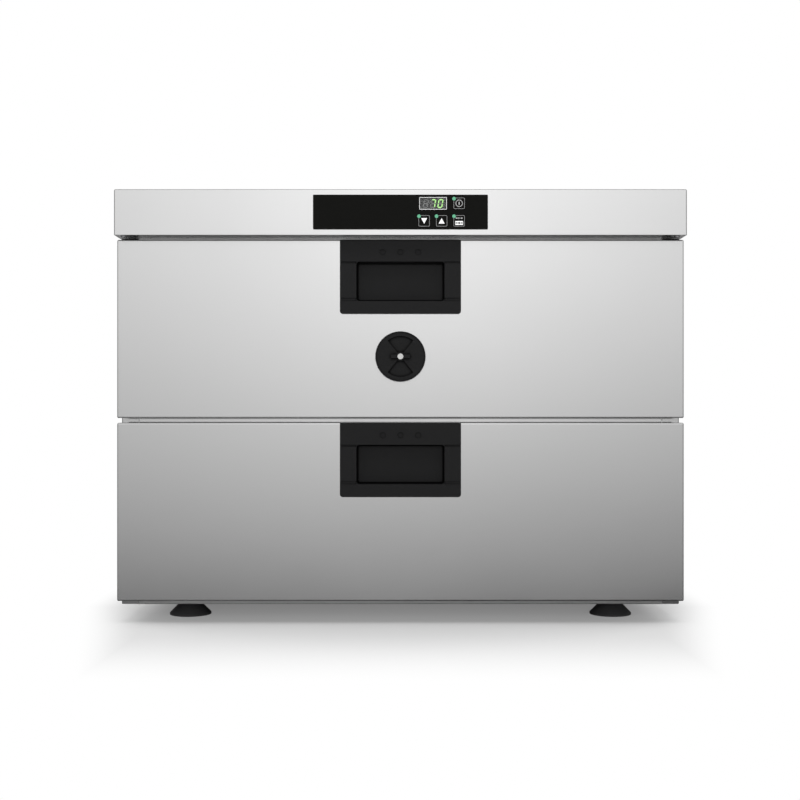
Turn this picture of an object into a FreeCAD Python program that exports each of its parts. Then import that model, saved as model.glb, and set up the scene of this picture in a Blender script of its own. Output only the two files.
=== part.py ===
import FreeCAD, Part
import math
import os
import Sketcher
from FreeCAD import Placement, Rotation, Vector

# A countertop warming drawer: two insulated drawers, one over the other, under a control hood.
# Frame: X to the right, Y to the rear, Z up. The origin is on the floor, under the middle of the object.

# Every size that can be set by itself, in millimetres (angles in degrees).
SIZES = (
    # casing
    ("case_width", 620, "width of casing, hood and drawer fronts"),
    ("case_deep", 400, "casing, from the face frame to the back of the rear sheet"),
    ("sheet", 1.2, "thickness of every steel sheet"),
    ("insulation", 17.6, "thickness of the insulation blanket in the walls"),
    ("bend", 1.5, "outside radius of a folded sheet edge"),
    ("blanket_ease", 6, "blanket cut short behind the rear screws"),
    ("rail_deep", 18, "depth of the face frame rails"),
    ("rail_tall", 20, "height of the rail between the drawers"),
    ("lintel_tall", 10, "height of the rail over the upper drawer"),
    # feet
    ("foot_tall", 19, "floor to the bottom of the casing"),
    ("foot_radius", 23.6, "foot at the floor"),
    ("foot_rim", 2, "straight rim at the foot's base"),
    ("foot_neck", 14, "radius of the foot's neck, above its 45 degree cone"),
    ("foot_inset_side", 68, "foot axis to the side of the casing"),
    ("foot_inset_front", 50, "foot axis to the face frame, and to the rear"),
    ("foot_recess", 9, "depth of the screw recess in the foot"),
    ("bolt_radius", 3, "foot bolt shank"),
    ("bolt_head", 5, "foot bolt head radius"),
    ("bolt_head_tall", 4, "foot bolt head height"),
    ("bolt_reach", 5, "foot bolt past the base sheet"),
    ("bolt_clear", 0.2, "radial room round a bolt or screw shank"),
    # drawer fronts
    ("front_tall", 195, "height of a drawer front"),
    ("front_thick", 20, "thickness of a drawer front"),
    ("bottom_reveal", 6.7, "casing bottom to the lower front"),
    ("front_gap", 5.2, "gap between the two fronts"),
    ("hood_gap", 3.2, "upper front to the hood"),
    ("seal_thick", 2.5, "seal on the back of a drawer front"),
    ("seal_clear", 0.2, "seal to the face frame"),
    ("seal_width", 5.5, "width of the seal's section"),
    ("seal_inset_side", 8, "seal to the side edge of the front"),
    ("seal_inset_end", 1, "seal to the top and bottom edges of the front"),
    # pan frames and slides
    ("frame_drop", 15.7, "top of a drawer front to the top of its pan frame"),
    ("pan_hole_width", 512, "frame opening, left to right"),
    ("frame_gap", 30.7, "pan frame to the rear liner"),
    ("shelf_front", 25, "frame shelf in front of the pan"),
    ("shelf_rear", 20, "frame shelf behind the pan"),
    ("frame_leg", 47.5, "height of the frame's side legs"),
    ("frame_end_leg", 40, "height of the frame's front and rear legs"),
    ("slide_long", 350, "length of each slide member"),
    ("slide_thick", 13, "slide, wall to frame"),
    ("slide_tall", 45, "height of the outer slide member"),
    ("slide_drop", 1.5, "frame top to the top of the slide"),
    ("slide_setback", 4, "face frame to the front end of the slides"),
    ("slide_fit", 0.3, "running gap between slide members"),
    ("slide_web_gap", 0.7, "gap between the webs of the nested slide members"),
    ("slide_lip_short", 5, "inner slide member's lips short of the middle member's web"),
    # handles
    ("handle_width", 132.3, "handle flange, left to right"),
    ("handle_tall", 81.2, "handle flange, top to bottom"),
    ("handle_proud", 1.5, "handle flange in front of the drawer front"),
    ("handle_lap", 2.2, "handle flange over the edge of the sheet"),
    ("handle_corner", 3.2, "radius of the handle's and recess's corners"),
    ("recess_width", 96.4, "finger recess, left to right"),
    ("recess_tall", 43.2, "finger recess, top to bottom"),
    ("recess_drop", 24, "handle top to the finger recess"),
    ("recess_deep", 14, "finger recess behind the drawer front's face"),
    ("recess_trench", 2, "width of the trench round the recess's back plate"),
    ("recess_plate", 3.5, "thickness of the recess's back plate, in front of the trench's floor"),
    ("plate_corner", 1.5, "corner radius of that plate"),
    ("undercut", 6, "finger room behind the handle's lip"),
    ("lip_thick", 2, "lip thickness behind the drawer front's face"),
    ("cup_wall", 1.5, "wall of the finger cup"),
    ("ledge_deep", 8, "handle ledge on top of the drawer front"),
    ("ledge_fit", 0.1, "ledge to the notch in the sheet"),
    ("dimple_radius", 3.4, "round dimples over the recess"),
    ("dimple_pitch", 19.4, "dimple to dimple"),
    ("dimple_drop", 13.7, "handle top to the dimples"),
    ("lip_round", 1.3, "rounding of the handle's top edge"),
    ("engraving", 0.8, "depth of dimples and grooves in the handle"),
    ("groove_high_tall", 2.1, "height of the upper side groove"),
    ("groove_low_tall", 3.5, "height of the lower side groove"),
    # vent in the upper drawer
    ("vent_drop", 127.8, "top of the upper front to the vent's axis"),
    ("vent_radius", 27.4, "vent flange"),
    ("vent_proud", 3.5, "vent flange in front of the drawer front"),
    ("vent_rim", 1.4, "rim round the vent disc"),
    ("vent_floor", 1, "thickness of the plate behind the vent disc"),
    ("vent_tube", 23, "outside radius of the tube through the front"),
    ("vent_tube_wall", 1.5, "wall of that tube"),
    ("disc_thick", 2, "thickness of the turning disc"),
    ("disc_gap", 0.3, "disc to the rim and to the plate"),
    ("window_radius", 22.3, "outer radius of the disc's windows"),
    ("window_root", 5, "inner radius of the disc's windows"),
    ("window_half", 39, "half angle of a window, in degrees"),
    ("port_radius", 21, "outer radius of the air ports behind the disc"),
    ("port_root", 6, "inner radius of the air ports"),
    ("port_half", 36, "half angle of an air port, in degrees"),
    ("grip_long", 21, "length of the disc's wing grip"),
    ("grip_tall", 4, "width of the wing grip"),
    ("grip_proud", 3, "wing grip in front of the disc"),
    ("pin_radius", 1.5, "vent pin shank"),
    ("pin_head", 3.15, "vent pin head radius"),
    ("pin_head_tall", 0.8, "thickness of the vent pin's heads"),
    ("pin_fit", 0.06, "radial running fit of disc on pin"),
    # hood and controls
    ("hood_tall", 49.4, "height of the hood"),
    ("hood_reach", 37.7, "hood front ahead of the face frame"),
    ("hood_flange", 12, "width of the hood's inward flange"),
    ("tray_fit", 0.1, "compartment floor to the hood's walls"),
    ("fascia_width", 188.9, "control fascia, left to right"),
    ("fascia_tall", 37.3, "control fascia, bottom to top"),
    ("fascia_thick", 1.5, "control fascia on the hood's face"),
    ("fascia_lift", 5.8, "hood bottom to the fascia"),
    ("fascia_corner", 1, "corner radius of the fascia"),
    ("key_size", 12.5, "side of a square key"),
    ("key_corner", 1.5, "corner radius of a key"),
    ("key_fit", 0.2, "key to its hole"),
    ("key_proud", 0.4, "key in front of the fascia"),
    ("key_travel", 0.5, "key travel"),
    ("key_lip", 1, "key lip behind the fascia, width and thickness"),
    ("key_stem", 2.5, "radius of a key's stem"),
    ("key_inset", 31.1, "last key column to the right end of the fascia"),
    ("key_pitch", 18.9, "key column to key column"),
    ("key_row_low", 8.9, "fascia bottom to the lower key row"),
    ("key_row_pitch", 18.95, "lower key row to upper key row"),
    ("lamp_radius", 1.9, "indicator lens"),
    ("lamp_side", 5.5, "lens to the left of its key's middle"),
    ("lamp_up", 5.1, "lens above its key's middle"),
    ("lamp_proud", 0.2, "lens in front of the fascia"),
    ("display_width", 29.3, "display window, left to right"),
    ("display_tall", 13.4, "display window, bottom to top"),
    ("display_inset", 1, "display module inside the window's outline"),
    ("opening_side", 3, "hood opening beside the outer keys"),
    ("opening_end", 1.2, "hood opening above and below the keys"),
    ("board_gap", 10, "hood wall to the control board"),
    ("board_thick", 1.6, "control board"),
    ("board_side", 12, "control board past the hood opening, sideways"),
    ("post_radius", 2.5, "standoff"),
    ("post_inset", 4, "standoff axis to the board's side edge"),
    ("switch_size", 6, "side of a key switch"),
    ("switch_tall", 3.5, "height of a key switch"),
    ("plunger_radius", 1.6, "plunger of a key switch"),
    ("plunger_tall", 1, "height of the plunger"),
    ("plunger_gap", 0.1, "key stem to plunger with the key pressed"),
    # power parts in the hood
    ("blanket_setback", 20, "face frame to the top blanket"),
    ("service_deep", 90, "bay behind the top blanket, to the casing's rear"),
    ("gland_inset", 75, "cable gland to the right side of the hood"),
    ("gland_lift", 26, "hood bottom to the cable gland"),
    ("gland_flats", 24, "across flats of the gland's hexagons"),
    ("gland_flange", 5, "thickness of the gland's hexagon"),
    ("gland_reach", 16, "gland behind the casing's rear"),
    ("gland_nut", 10.5, "radius of the gland's round nut"),
    ("gland_thread", 10, "radius of the gland's thread"),
    ("gland_inside", 9, "gland thread inside the hood"),
    ("gland_bore", 5, "radius of the cord passage"),
    ("gland_fit", 0.1, "radial room round the gland's thread"),
    ("locknut_thick", 4, "gland locknut"),
    ("block_wide", 60, "terminal block, left to right"),
    ("block_deep", 22, "terminal block, front to rear"),
    ("block_tall", 18, "terminal block height"),
    ("block_gap", 30, "terminal block to the hood's rear"),
    ("limiter_radius", 12, "safety thermostat"),
    ("limiter_tall", 14, "safety thermostat height"),
    ("limiter_base", 17, "radius of the safety thermostat's base plate"),
    ("limiter_inset", 110, "safety thermostat to the left side of the hood"),
    ("limiter_gap", 45, "safety thermostat axis to the hood's rear"),
    ("louvre_wide", 4, "width of a cooling slot in the hood's rear"),
    ("louvre_tall", 22, "height of a cooling slot"),
    ("louvre_pitch", 12, "cooling slot to cooling slot"),
    ("louvre_count", 16, "number of cooling slots"),
    ("louvre_inset", 110, "first cooling slot to the left side of the hood"),
    ("louvre_lift", 16, "hood bottom to the cooling slots"),
    # heater
    ("element_radius", 3.2, "radius of the heating element"),
    ("element_rise", 5.2, "cavity floor to the element's axis"),
    ("element_pitch", 100, "element run to element run"),
    ("element_front", 90, "face frame to the middle of the front bends"),
    ("element_rear", 70, "rear bend to the rear liner"),
    ("element_end", 10, "element past the rear liner"),
    ("element_fit", 0.4, "radial room where the element passes a sheet"),
    ("clip_wide", 12, "element clip, across the run"),
    ("clip_long", 8, "element clip, along the run"),
    ("clip_wall", 1.2, "element clip over the element"),
    ("cover_width", 400, "heater cover, left to right"),
    ("cover_tall", 13, "heater cover above the cavity floor"),
    ("cover_front", 30, "face frame to the heater cover"),
    ("cover_rear", 15, "heater cover to the rear liner"),
    ("slot_wide", 6, "width of a slot in the heater cover"),
    ("slot_long", 70, "length of a slot"),
    ("slot_gap", 25, "slot row to slot row, and first row to the cover's front"),
    ("slot_pitch", 24, "slot to slot across the cover"),
    ("slot_count", 15, "slots in a row"),
    ("probe_radius", 3, "temperature probe"),
    ("probe_long", 70, "length of the temperature probe"),
    ("probe_gap", 6, "rear liner to the probe"),
    ("probe_lift", 190, "cavity floor to the probe"),
    ("bracket_wide", 14, "probe bracket, left to right"),
    ("bracket_tall", 8, "probe bracket height"),
    # sheet metal screws
    ("screw_radius", 1.75, "screw shank"),
    ("screw_head", 3.5, "screw head radius"),
    ("screw_head_tall", 1, "screw head height"),
    ("screw_long", 6, "screw shank length"),
    ("screw_inset", 9, "rear screw to the side of the casing"),
    ("screw_end", 30, "first rear screw above the casing's bottom"),
    ("screw_pitch", 110, "rear screw to rear screw"),
    ("hood_screw_side", 7.6, "hood screw to the side of the hood"),
    ("hood_screw_front", 14, "hood screw to the front of the hood"),
)
REAR_SCREWS = 4
SLOT_ROWS = 3
KEY_COLUMNS = {"down": 0, "up": 1, "start": 2, "power": 2}
KEY_ROWS = {"down": 0, "up": 0, "start": 0, "power": 1}
SIDES = {"left": -1, "right": 1}
TINY = 1e-6

doc = FreeCAD.newDocument("warming_drawer")
sheet = doc.addObject("Spreadsheet::Sheet", "Sizes")
for row, (alias, value, meaning) in enumerate(SIZES, start=1):
    sheet.set(f"A{row}", meaning)
    sheet.set(f"B{row}", str(value))
    sheet.setAlias(f"B{row}", alias)
doc.recompute()

# Heights that several pieces share.
CASE_BOTTOM = "Sizes.foot_tall"
LOWER_FRONT = f"({CASE_BOTTOM} + Sizes.bottom_reveal)"
DRAWER_PITCH = "(Sizes.front_tall + Sizes.front_gap)"
UPPER_FRONT = f"({LOWER_FRONT} + {DRAWER_PITCH})"
CASE_TOP = f"({UPPER_FRONT} + Sizes.front_tall + Sizes.hood_gap)"
HOOD_TOP = f"({CASE_TOP} + Sizes.hood_tall)"
SKIN = "(Sizes.sheet + Sizes.insulation)"
WALL = "(2 * Sizes.sheet + Sizes.insulation)"
CAVITY_FLOOR = f"({CASE_BOTTOM} + {WALL})"
FRAME_TOP = f"({LOWER_FRONT} + Sizes.front_tall - Sizes.frame_drop)"

# Depths: the object runs from the faces of the keys to the end of the cable gland, centred on Y = 0.
OVERALL = "(Sizes.key_proud + Sizes.fascia_thick + Sizes.hood_reach + Sizes.case_deep + Sizes.gland_reach)"
HOOD_FRONT = f"(Sizes.key_proud + Sizes.fascia_thick - {OVERALL} / 2)"
CASE_FRONT = f"({HOOD_FRONT} + Sizes.hood_reach)"
CASE_REAR = f"({CASE_FRONT} + Sizes.case_deep)"
LINER_REAR = f"({CASE_REAR} - {WALL})"
FRONT_BACK = f"({CASE_FRONT} - Sizes.seal_clear - Sizes.seal_thick)"
FRAME_DEEP = f"({LINER_REAR} - Sizes.frame_gap - {FRONT_BACK})"
FRONT_FACE = f"({FRONT_BACK} - Sizes.front_thick)"
BOARD_FRONT = f"({HOOD_FRONT} + Sizes.sheet + Sizes.board_gap)"

# Distances from the middle plane.
SIDE = "(Sizes.case_width / 2)"
LINER_BACK = f"({SIDE} - {SKIN})"
CAVITY_SIDE = f"({SIDE} - {WALL})"
FRAME_SIDE = f"({CAVITY_SIDE} - Sizes.slide_thick)"
GLAND_X = f"({SIDE} - Sizes.gland_inset)"

# Controls on the fascia.
FASCIA_BOTTOM = f"({CASE_TOP} + Sizes.fascia_lift)"
KEY_FIRST = "(Sizes.fascia_width / 2 - Sizes.key_inset - 2 * Sizes.key_pitch)"
DISPLAY_X = f"({KEY_FIRST} + Sizes.key_pitch / 2)"
DISPLAY_Z = f"({FASCIA_BOTTOM} + Sizes.key_row_low + Sizes.key_row_pitch)"
OPENING_X = (
    f"({KEY_FIRST} - Sizes.key_size / 2 - Sizes.opening_side)",
    f"({KEY_FIRST} + 2 * Sizes.key_pitch + Sizes.key_size / 2 + Sizes.opening_side)",
)
OPENING_Z = (
    f"({FASCIA_BOTTOM} + Sizes.key_row_low - Sizes.key_size / 2 - Sizes.opening_end)",
    f"({DISPLAY_Z} + Sizes.key_size / 2 + Sizes.opening_end)",
)

PLANES = {"x": "YZ_Plane", "y": "XZ_Plane", "z": "XY_Plane"}
TURNS = {"x": Rotation(Vector(0, 1, 0), 90), "y": Rotation(Vector(1, 0, 0), -90), "z": Rotation()}

nodes = []


def node(piece):
    """Keep a finished piece, to be written to its own file."""
    nodes.append(piece)
    return piece


def place(piece, at):
    for axis, where in zip("xyz", at):
        piece.setExpression(f"Placement.Base.{axis}", where)


def span(sign, inner, outer):
    """A stretch between two distances from the middle plane, on the left (-1) or right (1) side."""
    return (inner, outer) if sign > 0 else (f"-{outer}", f"-{inner}")


# Part primitives and booleans.


def new(kind, label):
    piece = doc.addObject(kind, label)
    piece.Label = label
    return piece


def block(label, x, y, z):
    """A rectangular block between three pairs of expressions."""
    solid = new("Part::Box", label)
    for size, (start, end) in zip(("Length", "Width", "Height"), (x, y, z)):
        solid.setExpression(size, f"({end}) - ({start})")
    place(solid, (x[0], y[0], z[0]))
    return solid


def rod(label, axis, radius, at, length):
    """A cylinder that starts at a point and runs along the positive axis."""
    solid = new("Part::Cylinder", label)
    solid.Placement = Placement(Vector(), TURNS[axis])
    solid.setExpression("Radius", radius)
    solid.setExpression("Height", length)
    place(solid, at)
    return solid


def hexagon(label, flats, at, length):
    """A hexagonal bar along Y."""
    solid = new("Part::Prism", label)
    solid.Polygon = 6
    solid.Placement = Placement(Vector(), TURNS["y"])
    solid.setExpression("Circumradius", f"{flats} / sqrt(3)")
    solid.setExpression("Height", length)
    place(solid, at)
    return solid


def fuse(label, *solids):
    union = new("Part::MultiFuse", label)
    union.Shapes = list(solids)
    return union


def cut(label, base, *tools):
    tool = tools[0] if len(tools) == 1 else fuse(f"{label}_tools", *tools)
    difference = new("Part::Cut", label)
    difference.Base = base
    difference.Tool = tool
    return difference


def group(label, *solids):
    """Separate solids kept in one node."""
    compound = new("Part::Compound", label)
    compound.Links = list(solids)
    return compound


# PartDesign bodies. Features start at a distance along an axis of the body and run towards its positive end.


def body(label, x="0", y="0", z="0"):
    piece = new("PartDesign::Body", label)
    place(piece, (x, y, z))
    return piece


def amount(expression):
    """The present value of an expression, where a sketch is first drawn."""
    return float(sheet.evalExpression(expression))


def bind(sketch, kind, geometry, point, expression):
    """Tie a coordinate of a sketch point to an expression."""
    limit = Sketcher.Constraint(kind, geometry, point, amount(expression))
    number = sketch.addConstraint(limit)
    sketch.setExpression(f"Constraints[{number}]", expression)


def bind_radius(sketch, geometry, expression):
    number = sketch.addConstraint(Sketcher.Constraint("Radius", geometry, amount(expression)))
    sketch.setExpression(f"Constraints[{number}]", expression)


def polygon(sketch, *points):
    first = sketch.GeometryCount
    count = len(points)
    corners = [Vector(amount(across), amount(up), 0) for across, up in points]
    for step in range(count):
        sketch.addGeometry(Part.LineSegment(corners[step], corners[(step + 1) % count]))
    for step in range(count):
        following = first + (step + 1) % count
        sketch.addConstraint(Sketcher.Constraint("Coincident", first + step, 2, following, 1))
    for step, (across, up) in enumerate(points):
        bind(sketch, "DistanceX", first + step, 1, across)
        bind(sketch, "DistanceY", first + step, 1, up)


def rectangle(sketch, across, up):
    polygon(sketch, (across[0], up[0]), (across[1], up[0]), (across[1], up[1]), (across[0], up[1]))


def circle(sketch, across, up, radius):
    middle = Vector(amount(across), amount(up), 0)
    geometry = sketch.addGeometry(Part.Circle(middle, Vector(0, 0, 1), amount(radius)))
    bind(sketch, "DistanceX", geometry, 3, across)
    bind(sketch, "DistanceY", geometry, 3, up)
    bind_radius(sketch, geometry, radius)


def sector(sketch, towards, half_angle, inner, outer):
    """Part of a ring about the sketch's origin, facing along 0, 90, 180 or 270 degrees."""
    middle = math.radians(towards)
    half = math.radians(amount(half_angle))
    ends = []
    arcs = []
    for radius in (inner, outer):
        ring = Part.Circle(Vector(), Vector(0, 0, 1), amount(radius))
        drawn = Part.ArcOfCircle(ring, middle - half, middle + half)
        arc = sketch.addGeometry(drawn)
        ends.append((drawn.StartPoint, drawn.EndPoint))
        arcs.append(arc)
        sketch.addConstraint(Sketcher.Constraint("Coincident", arc, 3, -1, 1))
        bind_radius(sketch, arc, radius)
        for point, sign in ((1, "-"), (2, "+")):
            turn = f"({towards} {sign} {half_angle}) * 1 deg"
            if towards % 180 == 0:
                bind(sketch, "DistanceY", arc, point, f"{radius} * sin({turn})")
            else:
                bind(sketch, "DistanceX", arc, point, f"{radius} * cos({turn})")
    for point in (1, 2):
        side = sketch.addGeometry(Part.LineSegment(ends[0][point - 1], ends[1][point - 1]))
        sketch.addConstraint(Sketcher.Constraint("Coincident", side, 1, arcs[0], point))
        sketch.addConstraint(Sketcher.Constraint("Coincident", side, 2, arcs[1], point))


def profile(piece, axis, start, shapes):
    """A sketch across an axis of the body; its shapes are (function, values...) tuples."""
    sketch = piece.newObject("Sketcher::SketchObject", f"{piece.Name}_sketch")
    plane = next(item for item in piece.Origin.OriginFeatures if item.Role == PLANES[axis])
    sketch.AttachmentSupport = (plane, [""])
    sketch.MapMode = "FlatFace"
    sketch.setExpression("AttachmentOffset.Base.z", f"-({start})" if axis == "y" else start)
    for draw, *values in shapes:
        draw(sketch, *values)
    return sketch


def pad(piece, axis, start, length, *shapes):
    feature = piece.newObject("PartDesign::Pad", f"{piece.Name}_pad")
    feature.Profile = profile(piece, axis, start, shapes)
    feature.setExpression("Length", length)
    feature.Reversed = axis == "y"
    return feature


def pocket(piece, axis, start, length, *shapes):
    feature = piece.newObject("PartDesign::Pocket", f"{piece.Name}_pocket")
    feature.Profile = profile(piece, axis, start, shapes)
    feature.setExpression("Length", length)
    feature.Reversed = axis != "y"
    return feature


def turned(piece, *points):
    """A ring turned about the body's Z axis from its outline in radius and height."""
    feature = piece.newObject("PartDesign::Revolution", f"{piece.Name}_turning")
    sketch = profile(piece, "y", "0", [(polygon, *points)])
    feature.Profile = sketch
    feature.ReferenceAxis = (sketch, ["V_Axis"])
    feature.Angle = 360
    return feature


def repeat(piece, feature, pitch, count):
    """Copies of a pocket, along X."""
    pattern = piece.newObject("PartDesign::LinearPattern", f"{piece.Name}_pattern")
    pattern.Originals = [feature]
    pattern.Direction = (feature.Profile[0], ["H_Axis"])
    pattern.setExpression("Length", f"{pitch} * ({count} - 1)")
    pattern.setExpression("Occurrences", count)
    piece.Tip = pattern
    return pattern


def edge_names(feature, wanted):
    """Names of a feature's edges that pass a test."""
    doc.recompute()
    return [f"Edge{number}" for number, edge in enumerate(feature.Shape.Edges, start=1) if wanted(edge)]


def in_plane(edge, axis, level):
    return all(abs(getattr(corner, axis.upper()) - level) < TINY for corner in edge.Vertexes)


def along(edge, axis):
    others = [name for name in "xyz" if name != axis]
    ends = edge.Vertexes
    if len(ends) != 2:
        return False
    return all(abs(getattr(ends[0], name.upper()) - getattr(ends[1], name.upper())) < TINY for name in others)


def round_off(piece, feature, radius, wanted):
    rounding = piece.newObject("PartDesign::Fillet", f"{piece.Name}_rounding")
    rounding.Base = (feature, edge_names(feature, wanted))
    rounding.setExpression("Radius", radius)
    return rounding


# Casing.


def side_panel(side, sign):
    """A tray on edge: the outer side sheet with flanges folded towards the cavity."""
    deep = "Sizes.case_deep - Sizes.sheet"
    tall = f"{CASE_TOP} - {CASE_BOTTOM}"
    start = f"-{SIDE}" if sign < 0 else LINER_BACK
    piece = body(f"side_panel_{side}", start, CASE_FRONT, CASE_BOTTOM)
    shell = pad(piece, "x", "0", SKIN, (rectangle, ("0", deep), ("0", tall)))
    doc.recompute()
    box = shell.Shape.BoundBox
    outside = box.XMin if sign < 0 else box.XMax
    round_off(piece, shell, "Sizes.bend", lambda edge: in_plane(edge, "x", outside))
    inner = (rectangle, ("Sizes.sheet", f"{deep} - Sizes.sheet"), ("Sizes.sheet", f"{tall} - Sizes.sheet"))
    pocket(piece, "x", "Sizes.sheet" if sign < 0 else "0", "Sizes.insulation", inner)
    across = "Sizes.screw_inset" if sign < 0 else f"{SKIN} - Sizes.screw_inset"
    holes = [(circle, across, up, "Sizes.screw_radius + Sizes.bolt_clear") for up in rear_screw_heights("0")]
    pocket(piece, "y", f"{deep} - 2 * Sizes.sheet", "2 * Sizes.sheet", *holes)
    return node(piece)


def rear_screw_heights(bottom):
    return [f"({bottom} + Sizes.screw_end + {number} * Sizes.screw_pitch)" for number in range(REAR_SCREWS)]


def rear_panel():
    piece = body("rear_panel", "0", f"{CASE_REAR} - Sizes.sheet", CASE_BOTTOM)
    pad(piece, "y", "0", "Sizes.sheet", (rectangle, (f"-{SIDE}", SIDE), ("0", f"{CASE_TOP} - {CASE_BOTTOM}")))
    holes = []
    for sign in SIDES.values():
        across = f"{sign} * ({SIDE} - Sizes.screw_inset)"
        for up in rear_screw_heights("0"):
            holes.append((circle, across, up, "Sizes.screw_radius + Sizes.bolt_clear"))
    pocket(piece, "y", "0", "Sizes.sheet", *holes)
    return node(piece)


def foot_places():
    for end in ("front", "rear"):
        deep = f"({CASE_FRONT} + Sizes.foot_inset_front)" if end == "front" else (
            f"({CASE_REAR} - Sizes.foot_inset_front)")
        for side, sign in SIDES.items():
            yield f"{end}_{side}", f"({sign} * ({SIDE} - Sizes.foot_inset_side))", deep


def base_pan():
    """A shallow tray that closes the bottom; its front flange is the lowest rail of the face frame."""
    deep = "Sizes.case_deep - Sizes.sheet"
    piece = body("base_pan", "0", CASE_FRONT, CASE_BOTTOM)
    pad(piece, "z", "0", SKIN, (rectangle, (f"-{LINER_BACK}", LINER_BACK), ("0", deep)))
    inner = (rectangle, (f"-{CAVITY_SIDE}", CAVITY_SIDE), ("Sizes.sheet", f"{deep} - Sizes.sheet"))
    pocket(piece, "z", "Sizes.sheet", "Sizes.insulation", inner)
    holes = []
    for _, across, deep_in in foot_places():
        holes.append((circle, across, f"{deep_in} - {CASE_FRONT}", "Sizes.bolt_radius + Sizes.bolt_clear"))
    pocket(piece, "z", "0", "Sizes.sheet", *holes)
    return node(piece)


def front_rails():
    """The rail over the upper drawer and the channel between the two drawers."""
    lintel = body("front_rail_top", f"-{CAVITY_SIDE}", CASE_FRONT, f"{CASE_TOP} - Sizes.lintel_tall")
    lintel_points = (
        ("0", "0"),
        ("Sizes.sheet", "0"),
        ("Sizes.sheet", "Sizes.lintel_tall - Sizes.sheet"),
        ("Sizes.rail_deep", "Sizes.lintel_tall - Sizes.sheet"),
        ("Sizes.rail_deep", "Sizes.lintel_tall"),
        ("0", "Sizes.lintel_tall"),
    )
    pad(lintel, "x", "0", f"2 * {CAVITY_SIDE}", (polygon, *lintel_points))
    node(lintel)
    bottom = f"{UPPER_FRONT} - (Sizes.front_gap + Sizes.rail_tall) / 2"
    channel = body("front_rail_middle", f"-{CAVITY_SIDE}", CASE_FRONT, bottom)
    channel_points = (
        ("0", "0"),
        ("Sizes.rail_deep", "0"),
        ("Sizes.rail_deep", "Sizes.sheet"),
        ("Sizes.sheet", "Sizes.sheet"),
        ("Sizes.sheet", "Sizes.rail_tall - Sizes.sheet"),
        ("Sizes.rail_deep", "Sizes.rail_tall - Sizes.sheet"),
        ("Sizes.rail_deep", "Sizes.rail_tall"),
        ("0", "Sizes.rail_tall"),
    )
    pad(channel, "x", "0", f"2 * {CAVITY_SIDE}", (polygon, *channel_points))
    node(channel)


def element_sides():
    """Middles of the element's two outer runs, which end behind the rear liner."""
    return [f"({sign} * 1.5 * Sizes.element_pitch)" for sign in SIDES.values()]


def element_holes(label, radius, start, length):
    axis_height = f"({CAVITY_FLOOR} + Sizes.element_rise)"
    return [
        rod(f"{label}_hole_{number}", "y", radius, (across, start, axis_height), length)
        for number, across in enumerate(element_sides(), start=1)
    ]


def liners():
    """The smooth inner sheets of the cavity."""
    above_floor = (CAVITY_FLOOR, CASE_TOP)
    for side, sign in SIDES.items():
        thick = span(sign, CAVITY_SIDE, LINER_BACK)
        node(block(f"liner_{side}", thick, (CASE_FRONT, LINER_REAR), above_floor))
    floor_sheet = (f"{CAVITY_FLOOR} - Sizes.sheet", CAVITY_FLOOR)
    whole = (f"-{LINER_BACK}", LINER_BACK)
    node(block("liner_floor", whole, (CASE_FRONT, f"{CASE_REAR} - Sizes.sheet"), floor_sheet))
    rear_sheet = (LINER_REAR, f"{LINER_REAR} + Sizes.sheet")
    plate = block("liner_rear_sheet", whole, rear_sheet, above_floor)
    holes = element_holes("liner_rear", "Sizes.element_radius + Sizes.element_fit", LINER_REAR, "Sizes.sheet")
    node(cut("liner_rear", plate, *holes))


def case_insulation():
    """Blankets in the two side walls, the floor, the rear wall and over the cavity."""
    blankets = []
    side_y = (f"{CASE_FRONT} + Sizes.sheet", f"{CASE_REAR} - 2 * Sizes.sheet - Sizes.blanket_ease")
    side_z = (f"{CASE_BOTTOM} + Sizes.sheet", f"{CASE_TOP} - Sizes.sheet")
    for side, sign in SIDES.items():
        thick = span(sign, LINER_BACK, f"({SIDE} - Sizes.sheet)")
        blankets.append(block(f"blanket_{side}", thick, side_y, side_z))
    inside = (f"-{CAVITY_SIDE}", CAVITY_SIDE)
    floor_y = (f"{CASE_FRONT} + Sizes.sheet", f"{CASE_REAR} - 2 * Sizes.sheet")
    floor_z = (f"{CASE_BOTTOM} + Sizes.sheet", f"{CASE_BOTTOM} + {SKIN}")
    floor = block("blanket_floor_slab", inside, floor_y, floor_z)
    wells = []
    for name, across, deep in foot_places():
        at = (across, deep, f"{CASE_BOTTOM} + Sizes.sheet")
        wells.append(rod(f"blanket_well_{name}", "z", "2 * Sizes.bolt_radius", at, "2 * Sizes.bolt_reach"))
    blankets.append(cut("blanket_floor", floor, *wells))
    rear_y = (f"{LINER_REAR} + Sizes.sheet", f"{CASE_REAR} - Sizes.sheet")
    rear = block("blanket_rear_slab", (f"-{LINER_BACK}", LINER_BACK), rear_y, (CAVITY_FLOOR, CASE_TOP))
    holes = element_holes("blanket_rear", "2 * Sizes.element_radius", rear_y[0], "2 * Sizes.element_end")
    blankets.append(cut("blanket_rear", rear, *holes))
    top_y = (f"{CASE_FRONT} + Sizes.blanket_setback", f"{CASE_REAR} - Sizes.service_deep")
    top_z = (f"{CASE_TOP} + Sizes.sheet", f"{CASE_TOP} + {SKIN}")
    blankets.append(block("blanket_top", inside, top_y, top_z))
    return node(group("case_insulation", *blankets))


# Feet and screws.


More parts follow.
